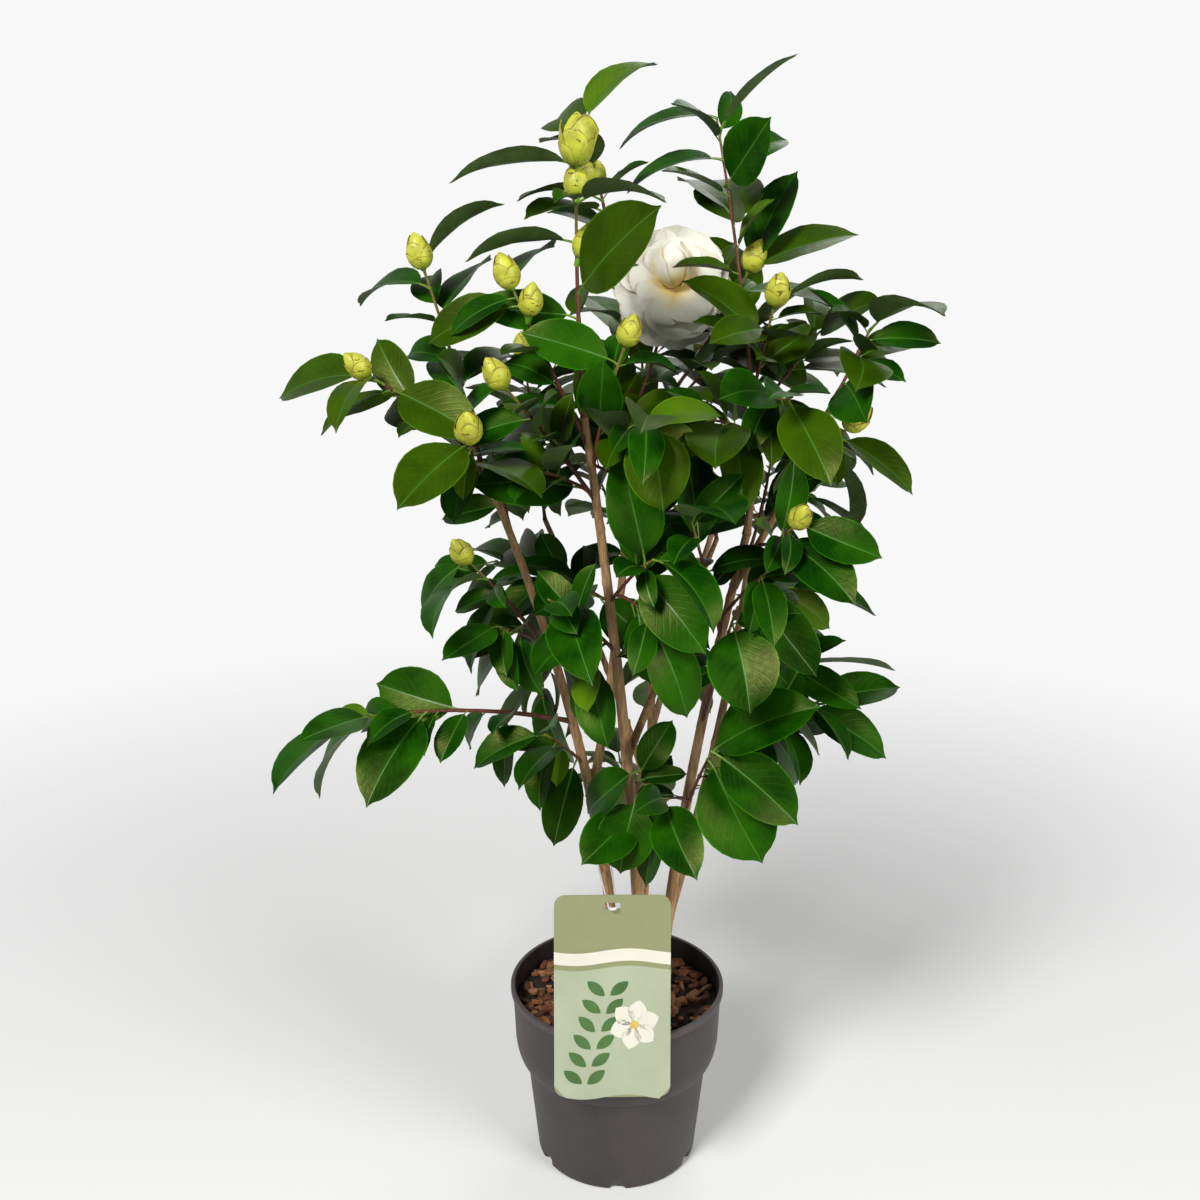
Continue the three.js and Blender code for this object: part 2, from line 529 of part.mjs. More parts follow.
// Every mass has a main shoot, its side shoots, and what the seeded rule adds to them.
function growShoots(limbs) {
  const shoots = [];
  MASSES.forEach((mass, m) => {
    const draw = makeDraw(SEED * 1000 + m * 17);
    const add = (branch, plan, count) => {
      const shoot = { mass: mass.name, limb: mass.on, branch, plan, name: `${mass.name} ${shoots.length}` };
      shoots.push(shoot);
      for (const t of steps(0.08, 1, count)) take([branchPoint(branch, t)], 1.6, shoot.name);
      return shoot;
    };
    const host = limbs[mass.on];
    mass.shoots.forEach((plan, i) => {
      const parent = i === 0 ? host : shoots.find((shoot) => shoot.mass === mass.name).branch;
      const share = i === 0 ? mass.at : plan.at;
      const root = branchPoint(parent, share);
      const length = vec(plan.tip).distanceTo(root);
      const slender = TWIG.slender + length / TWIG.perLength;
      const thick = Math.min(radiusAt(parent, share) * TWIG.rootShare, slender);
      const branch = makeBranch(root, vec(plan.tip), vec(plan.bow), [thick, TWIG.tip]);
      const main = add(branch, plan, Math.max(4, Math.floor(length / 8)));
      for (let j = 0; j < (plan.twigs ?? 0); j += 1) {
        const at = 0.35 + 0.3 * j;
        const leaves = leaving(branchHeading(branch, at), draw(0, 360), 48);
        const reach = Math.max(40, Math.min(80, length * draw(0.36, 0.5)));
        const from = branchPoint(branch, at);
        const knee = sum(from, times(leaves, reach / 2));
        const tip = sum(knee, times(unit(sum(leaves, times(UP, 0.35))), reach / 2));
        const twig = { a: from, b: knee, c: tip, radius: [TWIG.sideRoot, TWIG.sideTip] };
        if (!isClear(steps(0.25, 1, 8).map((t) => branchPoint(twig, t)), SPACING.twig, [main.name])) continue;
        add(twig, { leaves: 5, size: plan.size, droop: plan.droop }, 8);
      }
    });
  });
  return shoots;
}

function growBuds(shoots) {
  const buds = [];
  shoots.forEach((shoot, i) => {
    const draw = makeDraw(SEED * 500 + i * 13);
    for (const share of shoot.plan.buds ?? []) {
      const atTip = share === 1;
      const root = branchPoint(shoot.branch, share);
      const ahead = branchHeading(shoot.branch, share);
      const turned = leaving(ahead, draw(0, 360), 38);
      const direction = unit(atTip ? sum(ahead, times(UP, 0.3)) : sum(turned, times(UP, 0.5)));
      const base = atTip ? root : sum(root, times(direction, BUD.stalk));
      const length = BUD.length * draw(0.85, 1.12) * (shoot.plan.topBud && atTip ? shoot.plan.topBud : 1);
      buds.push({ mass: shoot.mass, root, base, direction, length });
      for (const h of [0.25, 0.5, 0.75]) {
        take([sum(base, times(direction, length * h))], length * 0.36, `bud ${shoot.name}`);
      }
    }
  });
  return buds;
}

function growLeaves(shoots) {
  const leaves = [];
  // A blade is kept where all of it is clear of everything but its own shoot, which its outer
  // part still stands off.
  const keep = (blade, shoot, gap, passing) => {
    const samples = bladeSamples(blade, 0);
    if (Math.min(...samples.map((point) => point.z)) < SPACING.soil) return false;
    const limb = `limb ${shoot.limb}`;
    if (passing.includes(limb)) {
      const others = passing.filter((owner) => owner !== limb);
      if (!isClear(bladeSamples(blade, 2), SPACING.ownLimb, others)) return false;
    }
    if (!isClear(samples, gap, passing)) return false;
    const own = steps(0, 1, 12).map((t) => branchPoint(shoot.branch, t));
    const outer = bladeSamples(blade, 2);
    if (outer.some((point) => own.some((other) => point.distanceTo(other) < SPACING.ownTwig))) return false;
    leaves.push({ mass: shoot.mass, shoot: shoot.name, blade });
    take(samples, 0, `leaf ${shoot.mass}`);
    return true;
  };
  for (const shoot of shoots) {
    for (const [share, azimuth, rise, length, width, bend, facing] of shoot.plan.show ?? []) {
      const root = branchPoint(shoot.branch, share);
      const runs = heading(azimuth, rise);
      const away = unit(sum(runs, times(branchHeading(shoot.branch, share), 0.6)));
      const blade = makeBlade(root, away, runs, { length, width, bend, fold: 12, roll: 0 }, facing);
      keep(blade, shoot, SPACING.leading, [shoot.name, `bud ${shoot.name}`, `limb ${shoot.limb}`, 'front']);
    }
  }
  shoots.forEach((shoot, number) => {
    const { plan, branch } = shoot;
    const draw = makeDraw(SEED * 7919 + number * 131);
    const drawnTurn = draw(0, 360);
    const firstTurn = plan.turn ?? drawnTurn;
    const bare = plan.bare ?? 0.3;
    for (let i = 0; i < plan.leaves; i += 1) {
      const share = 1 - ((1 - bare) * (i + 0.1)) / plan.leaves;
      const root = branchPoint(branch, share);
      const ahead = branchHeading(branch, share);
      const length = LEAF.length * (plan.size ?? 1) * draw(0.72, 1.16);
      const pitch = ahead.z <= 0.8 ? 180 : 137.5;
      const wobble = draw(-16, 16);
      const spread = 34 + 30 * Math.sqrt(i / plan.leaves) + draw(-8, 10) + (plan.buds && i === 0 ? 14 : 0);
      const sag = (plan.droop ?? along(SAG, root.z)) * (0.5 + 0.5 * Math.min(1, i / 2)) + draw(-0.28, 0.3);
      const turned = { roll: draw(-26, 26), bend: draw(15, 58), fold: draw(7, 26) };
      const size = { length, ...turned, width: draw(0.47, 0.62) };
      const out = new THREE.Vector3(root.x - CROWN_AXIS[0], root.y - CROWN_AXIS[1], 0);
      out.divideScalar(Math.max(60, out.length()));
      for (const aside of [0, 38, -38, 76, -76, 114, -114, 180]) {
        const away = leaving(ahead, firstTurn + i * pitch + wobble + aside, spread);
        const runs = unit(sum(away, times(UP, -sag), times(out, 0.15)));
        if (keep(makeBlade(root, away, runs, size, 'up'), shoot, SPACING.leaf, [shoot.name])) break;
      }
    }
  });
  return leaves;
}

// ---- from geometry to solids and back ------------------------------------------------------
function toSolid(geometry) {
  geometry.deleteAttribute('normal');
  geometry.deleteAttribute('uv');
  const merged = mergeVertices(geometry, 1e-4);
  const vertProperties = new Float32Array(merged.attributes.position.array);
  const triVerts = new Uint32Array(merged.index.array);
  return new wasm.Manifold(new wasm.Mesh({ numProp: 3, vertProperties, triVerts }));
}

function toMesh(name, solid, material) {
  const { vertProperties, triVerts } = solid.getMesh();
  const geometry = new THREE.BufferGeometry();
  geometry.setAttribute('position', new THREE.BufferAttribute(new Float32Array(vertProperties), 3));
  geometry.setIndex(new THREE.BufferAttribute(new Uint32Array(triVerts), 1));
  geometry.computeVertexNormals();
  const mesh = new THREE.Mesh(geometry, material);
  mesh.name = name;
  return mesh;
}

const joined = (solids) => solids.reduce((whole, piece) => whole.add(piece));

// Moves every vertex of a geometry to where the function puts it.
function reshape(geometry, place) {
  const { position } = geometry.attributes;
  const vertex = new THREE.Vector3();
  for (let i = 0; i < position.count; i += 1) {
    const { x, y, z } = place(vertex.fromBufferAttribute(position, i));
    position.setXYZ(i, x, y, z);
  }
  return geometry;
}

// ---- limbs, twigs, leaves, buds and the bloom as solids ------------------------------------
// A cylinder bent along a branch, its radius tapering, with each end square to the branch. A
// stem's foot flares out and is cut level.
function branchSolid(branch, sides, rings, grow = 0) {
  const chord = minus(branch.c, branch.a);
  const least = ['x', 'y', 'z'].sort((p, q) => Math.abs(chord[p]) - Math.abs(chord[q]))[0];
  const aside = new THREE.Vector3();
  aside[least] = 1;
  const place = (v) => {
    const ring = Math.round((v.y + 0.5) * rings);
    const t = (ring / rings) ** 1.35;
    const ahead = branchHeading(branch, t);
    const across = unit(minus(aside, times(ahead, aside.dot(ahead))));
    const over = cross(across, ahead);
    const flare = branch.grounded ? 1 + 0.3 * Math.exp(-t * 30) : 1;
    const end = (ring === rings ? grow : 0) - (ring === 0 ? grow : 0);
    const middle = sum(branchPoint(branch, t), times(ahead, end));
    const radius = radiusAt(branch, t) * flare + grow;
    const point = sum(middle, times(across, v.x * radius), times(over, v.z * radius));
    if (branch.grounded && ring === 0) point.z = branch.a.z;
    return point;
  };
  return toSolid(reshape(new THREE.CylinderGeometry(1, 1, 1, sides, rings), place));
}

// A ball of four meridians drawn out into a blade: one pole is the root, sunk in the shoot, the
// first ring is the top of the stalk, the others cross the blade, and the last pole is its tip.
const BLADE_RINGS = [0, 0.04, 0.36, 0.74, 1];

function bladeSolid(blade, stalkWidth) {
  const rings = BLADE_RINGS.length - 1;
  const place = (v) => {
    const ring = Math.round((Math.acos(THREE.MathUtils.clamp(v.y, -1, 1)) / Math.PI) * rings);
    if (ring === 0) return sum(blade.root, times(unit(minus(blade.base, blade.root)), -ROOT_DEPTH));
    const t = BLADE_RINGS[ring];
    const girth = Math.hypot(v.x, v.z) || 1;
    const s = ring === rings ? 0 : Math.round(v.x / girth);
    const lift = ring === rings ? 0 : -Math.round(v.z / girth) * (blade.thickness / 2);
    if (ring > 1 || s === 0) return bladePoint(blade, t, s, lift);
    return sum(bladePoint(blade, t, 0), times(blade.side, (s * stalkWidth) / 2));
  };
  return toSolid(reshape(new THREE.SphereGeometry(1, 4, rings), place));
}

// A bud is a ball drawn out to an egg with a pointed tip, on a short stalk.
function budSolid(bud) {
  const rings = 5;
  const side = unit(cross(bud.direction, new THREE.Vector3(1, 0, 0)));
  const over = cross(bud.direction, side);
  const place = (v) => {
    const ring = Math.round((Math.acos(THREE.MathUtils.clamp(v.y, -1, 1)) / Math.PI) * rings);
    const share = (1 - Math.cos((Math.PI * ring) / rings)) / 2;
    const girth = BUD.girth * bud.length * Math.sin(Math.PI * share ** 0.85) ** 0.75;
    const sunk = sum(bud.root, times(bud.direction, -ROOT_DEPTH * 3));
    const middle = ring === 0 ? sunk : sum(bud.base, times(bud.direction, share * bud.length));
    const round = Math.hypot(v.x, v.z) || 1;
    const radius = ring === 0 || ring === rings ? 0 : girth;
    return sum(middle, times(side, (v.x / round) * radius), times(over, (v.z / round) * radius));
  };
  return toSolid(reshape(new THREE.SphereGeometry(1, 6, rings), place));
}

// The open bloom: two whorls of cupped petals round a folded heart.
const WHORLS = [
  { count: 6, turn: 0, lean: 14, length: 0.5, width: 1.0, bend: 25, start: 0.04 },
  { count: 4, turn: 30, lean: 38, length: 0.4, width: 1.05, bend: -30, start: 0.08 },
];

function bloomSolid(bloom) {
  const petals = WHORLS.flatMap((whorl) => Array.from({ length: whorl.count }, (_, k) => {
    const a = radians(whorl.turn + (k * 360) / whorl.count);
    const outward = sum(times(bloom.side, Math.cos(a)), times(bloom.over, Math.sin(a)));
    const lean = radians(whorl.lean);
    const runs = sum(times(outward, Math.cos(lean)), times(bloom.direction, Math.sin(lean)));
    const normal = sum(times(bloom.direction, Math.cos(lean)), times(outward, -Math.sin(lean)));
    return bladeSolid({
      root: bloom.base,
      base: sum(bloom.base, times(bloom.direction, BLOOM.width * whorl.start)),
      along: runs, normal, side: cross(runs, normal),
      length: BLOOM.width * whorl.length, width: BLOOM.width * whorl.length * whorl.width,
      bend: radians(whorl.bend), fold: radians(14), outline: PETAL_OUTLINE, thickness: BLOOM.petalThickness,
    }, 6);
  }));
  const heart = budSolid({
    root: bloom.base, base: sum(bloom.base, times(bloom.direction, BLOOM.width * 0.04)),
    direction: bloom.direction, length: BLOOM.width * 0.34,
  });
  const cup = reshape(new THREE.SphereGeometry(BLOOM.cup, 8, 5), (v) => sum(v, bloom.base));
  return joined([...petals, heart, toSolid(cup)]);
}

// ---- the pot, its filling, the card and its tie --------------------------------------------
// Outer radius of the pot at a height: a body that widens to the waist, a round shoulder, and
// a collar that widens a little to the rim.
function potRadius(z) {
  if (z <= POT.collarFoot) return lerp(POT.footRadius, POT.waistRadius, z / POT.collarFoot);
  const shoulderTop = POT.collarFoot + POT.shoulder;
  if (z <= shoulderTop) {
    const t = 1 - (z - POT.collarFoot) / POT.shoulder;
    return POT.waistRadius + (POT.collarRadius - POT.waistRadius) * Math.sqrt(1 - t * t);
  }
  return lerp(POT.collarRadius, POT.rimRadius - POT.lipStep, (z - shoulderTop) / (POT.height - shoulderTop));
}

const SHOULDER_HEIGHTS = [0, 0.06, 0.3, 1].map((share) => POT.collarFoot + share * POT.shoulder);

function turned(profile) {
  const points = profile.map(([radius, z]) => new THREE.Vector2(radius, z));
  const geometry = new THREE.LatheGeometry(points, POT.sides);
  return toSolid(geometry.rotateX(Math.PI / 2));
}

function makePot() {
  const lipFoot = POT.height - POT.lipHeight;
  const inside = (z) => potRadius(Math.max(0, z)) - POT.wall;
  const outer = [
    [0, 0], [POT.footRadius - 2, 0], [potRadius(2), 2],
    ...SHOULDER_HEIGHTS.map((z) => [potRadius(z), z]),
    [potRadius(lipFoot), lipFoot], [POT.rimRadius, lipFoot + 1], [POT.rimRadius, POT.height],
  ];
  const inner = [
    [inside(POT.height), POT.height],
    ...SHOULDER_HEIGHTS.map((z) => [inside(z), z + POT.wall / 2]).reverse(),
    [inside(POT.floor), POT.floor], [0, POT.floor],
  ];
  let pot = turned([...outer, ...inner]);
  for (let k = 0; k < DRAIN.count; k += 1) {
    const slot = new THREE.BoxGeometry(DRAIN.depth, DRAIN.width, DRAIN.height * 2);
    slot.translate(POT.footRadius, 0, 0).rotateZ(((k + 0.5) * 2 * Math.PI) / DRAIN.count);
    pot = pot.subtract(toSolid(slot));
  }
  return toMesh('pot', pot, POT_PLASTIC);
}

// The mix fills the pot to below its rim, with flakes of bark strewn over it.
function makePottingMix(limbs) {
  const inside = (z) => potRadius(z) - POT.wall - SOIL.clearance;
  const heights = SHOULDER_HEIGHTS.map((z) => z + POT.wall / 2);
  const profile = [
    [0, POT.floor + GAP], [inside(POT.floor), POT.floor + GAP],
    ...heights.map((z, i) => [inside(SHOULDER_HEIGHTS[i]), z]),
    [inside(SOIL.top), SOIL.top], [0, SOIL.top],
  ];
  let mix = turned(profile);
  const draw = makeDraw(SEED);
  const feet = Object.values(limbs).filter((limb) => limb.grounded).map((limb) => limb.a);
  for (let k = 0; k < SOIL.chips; k += 1) {
    const radius = draw(18, inside(SOIL.top) - SOIL.chipLength * 0.62);
    const bearing = k * 2.4;
    const centre = new THREE.Vector3(radius * Math.cos(bearing), radius * Math.sin(bearing), SOIL.top);
    const tilt = draw(-0.2, 0.2);
    const turn = draw(0, Math.PI);
    const size = draw(0.6, 1.1);
    if (feet.some((foot) => foot.distanceTo(centre) < SOIL.chipLength)) continue;
    const chip = new THREE.BoxGeometry(SOIL.chipLength * size, SOIL.chipWidth * size, SOIL.chipDepth);
    chip.rotateX(tilt).rotateZ(turn).translate(centre.x, centre.y, centre.z + 0.6);
    mix = mix.add(toSolid(chip));
  }
  return toMesh('potting_mix', mix, POTTING_MIX);
}

// Place of a point of the hang card, from its shares across, through and up its face. The card
// leans out over the rim and is a little wavy from side to side.
function cardPoint(across, through, up) {
  const lean = Math.asin((CARD.headY - CARD.footY) / CARD.height);
  const wave = 1.6 * Math.sin(across * 2.2 + up * 2);
  const height = CARD.height * (up + 0.5);
  const proud = through * CARD.thickness + wave;
  return new THREE.Vector3(
    CARD.x + across * CARD.width,
    CARD.footY + height * Math.sin(lean) + proud * Math.cos(lean),
    CARD.footZ + height * Math.cos(lean) - proud * Math.sin(lean),
  );
}

function makeCard() {
  const columns = 4;
  const rows = 12;
  const grid = new THREE.BoxGeometry(1, 1, 1, columns, 1, rows);
  // Rows crowd towards both ends, where the corners are rounded.
  const card = reshape(grid, (v) => {
    const up = 0.5 * Math.sin(Math.PI * v.z);
    const short = Math.max(0, CARD.corner - (0.5 - Math.abs(up)) * CARD.height);
    const inset = CARD.corner - Math.sqrt(Math.max(0, CARD.corner ** 2 - short ** 2));
    return cardPoint(v.x * (1 - (2 * inset) / CARD.width), v.y, up);
  });
  const slotUp = 0.5 - SLOT.fromTop / CARD.height;
  const slot = new THREE.BoxGeometry(SLOT.width, 12, SLOT.height);
  const centre = cardPoint(0, 0, slotUp);
  slot.translate(centre.x, centre.y, centre.z);
  // The card hangs on the loop by the upper edge of its slot.
  const seat = sum(centre, times(UP, SLOT.height / 2 - TIE.width / 2 - GAP));
  return { mesh: toMesh('hang_card', toSolid(card).subtract(toSolid(slot)), CARD_STOCK), seat };
}

// A flat loop that runs round the left stem and out through the card's slot.
function makeTie(stem, seat) {
  const centre = branchPoint(stem, TIE.share);
  const backRadius = radiusAt(stem, TIE.share) + 1;
  const nose = seat.y - TIE.reach;
  const back = centre.y - (1 - GAP);
  const ring = (grow) => {
    const outline = new THREE.Shape();
    outline.absarc(centre.x, back, backRadius + grow, 0, Math.PI, false);
    outline.absarc(seat.x, nose, TIE.noseRadius + grow, Math.PI, 2 * Math.PI, false);
    outline.closePath();
    return outline;
  };
  const outline = ring(TIE.band);
  outline.holes.push(new THREE.Path(ring(0).getPoints(3).reverse()));
  const drawnOut = { depth: TIE.width, curveSegments: 3, bevelEnabled: false };
  const band = new THREE.ExtrudeGeometry(outline, drawnOut);
  // The loop slopes from the stem down to its seat in the card.
  const slope = (centre.z - seat.z) / (back - seat.y);
  reshape(band, (v) => new THREE.Vector3(v.x, v.y, centre.z + v.z - TIE.width / 2 + (v.y - back) * slope));
  return toMesh('card_tie', toSolid(band), TIE_PLASTIC);
}

// ---- assembly ------------------------------------------------------------------------------
const card = makeCard();
for (const up of steps(-0.5, 0.5, 16)) {
  take(steps(-0.5, 0.5, 9).map((across) => cardPoint(across, 0, up)), 3, 'card');
}
const limbs = growLimbs();
const tieHold = branchPoint(limbs.stem_left, TIE.share);
take(steps(0, 1, 8).map((t) => sum(times(card.seat, 1 - t), times(tieHold, t))), 6, 'tie');
const bloom = growBloom();
const shoots = growShoots(limbs);
const buds = growBuds(shoots);
const leaves = growLeaves(shoots);

const shrub = new THREE.Group();
shrub.add(makePot(), makePottingMix(limbs), card.mesh, makeTie(limbs.stem_left, card.seat));

const room = {}; // each limb grown by the clearance, which what forks from it is cut by
for (const row of LIMBS) {
  const limb = limbs[row.name];
  room[row.name] = branchSolid(limb, 7, 8, GAP);
  const whole = branchSolid(limb, 7, 8);
  shrub.add(toMesh(row.name, row.on ? whole.subtract(room[row.on]) : whole, BARK));
}

for (const mass of MASSES) {
  const mine = ({ mass: owner }) => owner === mass.name;
  const solids = [
    ...shoots.filter(mine).map((shoot) => branchSolid(shoot.branch, 3, 4)),
    ...leaves.filter(mine).map(({ blade }) => bladeSolid(blade, LEAF.stalkWidth)),
    ...buds.filter(mine).map(budSolid),
    ...(bloom.mass === mass.name ? [bloomSolid(bloom)] : []),
  ];
  shrub.add(toMesh(mass.name, joined(solids).subtract(room[mass.on]), FOLIAGE));
}

export default shrub;
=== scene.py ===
"""A camellia shrub in its nursery pot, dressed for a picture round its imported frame.

The plant grows here by the same plan and seeded rule as its solids: the limbs, the shoots of
each mass, the buds and the leaves stand where the solids stand. Working sizes are millimetres
in the shrub's own frame, and a mesh is written in metres.
"""
import math

import bpy
import numpy as np
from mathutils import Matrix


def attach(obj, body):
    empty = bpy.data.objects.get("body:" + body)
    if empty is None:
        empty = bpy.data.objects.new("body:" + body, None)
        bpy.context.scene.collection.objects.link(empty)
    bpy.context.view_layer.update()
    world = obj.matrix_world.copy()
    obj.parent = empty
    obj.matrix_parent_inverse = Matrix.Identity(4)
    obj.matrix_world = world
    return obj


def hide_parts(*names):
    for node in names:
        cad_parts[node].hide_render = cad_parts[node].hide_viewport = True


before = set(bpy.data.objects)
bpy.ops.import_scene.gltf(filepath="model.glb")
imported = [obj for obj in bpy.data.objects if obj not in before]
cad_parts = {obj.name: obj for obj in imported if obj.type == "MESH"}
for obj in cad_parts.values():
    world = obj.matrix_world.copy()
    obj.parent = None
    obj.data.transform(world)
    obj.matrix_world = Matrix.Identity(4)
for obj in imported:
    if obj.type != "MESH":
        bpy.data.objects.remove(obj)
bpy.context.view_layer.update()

MM = 0.001
BODY = "root"

bl_info = {
    "name": "Camellia shrub in a nursery pot",
    "version": (1, 0, 0),
    "blender": (4, 5, 0),
    "location": "View3D > Sidebar > Shrub",
    "description": "Builds the bark, shoots, leaves, buds, bloom, pot and stage of a camellia",
    "category": "Add Mesh",
}

# ---- the sizes that the solids are made from, in millimetres ----------------------------------
# The gap between neighbours, the seed of the draws, and how deep a stalk's root is sunk.
GAP = 0.3
SEED = 1
ROOT_DEPTH = 0.8
POT = dict(rim_radius=95, height=164, lip_height=6, lip_step=1.8, collar_radius=91.4, collar_foot=91,
           shoulder=30, waist_radius=81, foot_radius=71.5, wall=2.2)
DRAIN = dict(count=6, width=11, height=5)
SOIL_TOP = 146
SOIL_CLEARANCE = 0.4
CARD = dict(width=96, height=170, thickness=0.9, corner=9, foot_y=-105, foot_z=119, head_y=-74, x=-5)
CARD_SLOT = dict(width=13, height=5, from_top=9)
TIE = dict(share=0.275, band=1.2, width=2.4, nose_radius=2.6, reach=4)
TWIG = dict(root_share=0.85, slender=1.2, per_length=110, tip=1.1, side=(1.4, 0.9))
LEAF = dict(length=73, stalk=9)
FINE_LEAF = dict(count=7, stalk=6, gap=3.6)
BUD = dict(length=28, girth=0.34, stalk=5)
BLOOM_WIDTH = 98
# How far a leaf or a twig stands off what is there already, and its least height over the floor.
SPACING = dict(leaf=7.2, leading=2.5, own_twig=4.5, own_limb=1.5, twig=9, soil=176)
# How much a leaf sags, by the height of its root.
SAG = [(250, 0.95), (450, 0.6), (700, 0.25), (900, 0.05)]
# Which way the upper side of a leaf faces.
FACING = dict(up=(-0.05, -0.42, 1.0), half=(-0.1, -0.75, 0.6), front=(-0.1, -0.88, 0.42),
              left=(-0.6, -0.6, 0.4), right=(0.6, -0.6, 0.4), back=(-0.05, 0.3, 1.0))
CROWN_AXIS = (15, 5)
UP = np.array((0.0, 0.0, 1.0))

# ---- the growth plan --------------------------------------------------------------------------
# A limb is the one that it forks from, its foot in the mix or the share of the way along the
# other limb, its tip, its bow, which is twice what its middle stands off the straight line by,
# and its radius at both ends.
LIMBS = {
    "stem_left": (None, (2, 10), (-108, -35, 637), (40, 8, 0), (5.4, 2.7)),
    "stem_middle": (None, (24, -8), (-27, -62, 675), (13, 0, 0), (6.2, 3)),
    "stem_right": (None, (38, 8), (100, -38, 580), (-14, 5, 0), (5.4, 3.2)),
    "bough_left_inner": ("stem_left", 0.4, (9, 22, 675), (16, 0, 0), (4.2, 2.5)),
    "bough_centre_rear": ("stem_middle", 0.46, (88, 88, 548), (-4, -6, -8), (3.6, 2.2)),
    "bough_right_rear": ("stem_right", 0.18, (114, 52, 548), (17, 8, 6), (4.4, 2.7)),
    "bough_right_upright": ("stem_right", 1, (103, -22, 690), (6, 0, 0), (3, 2.2)),
    "bough_right_outer": ("stem_right", 0.9, (163, -58, 693), (2, 0, -6), (3.2, 2.2)),
    "stem_rear": (None, (20, 36), (32, 122, 559), (10, 0, -12), (4.8, 2.6)),
    "bough_rear_left": ("stem_rear", 0.42, (-65, 118, 560), (14, 4, -14), (3.4, 2.2)),
    "bough_rear_right": ("stem_rear", 0.55, (114, 120, 632), (-8, 6, -10), (3.2, 2.2)),
}
# The stretch of each stem whose sunny side stays clear of leaves.
OPEN_FRONT = {"stem_middle": (0.42, 0.98), "stem_left": (0.25, 0.9), "stem_right": (0.3, 0.95)}


def shoot(tip, bow, leaves, show=(), **more):
    """A shoot of the plan: where it ends, its bow, how many leaves the rule gives it, and the few
    leaves that show most: share of the shoot, azimuth, rise, length, width as a share of the
    length, bend, and which way the upper side faces."""
    usual = dict(at=None, buds=(), top_bud=1, twigs=0, size=1, droop=None, bare=0.3, turn=None, bloom=None)
    return dict(usual, tip=tip, bow=bow, leaves=leaves, show=show, **more)


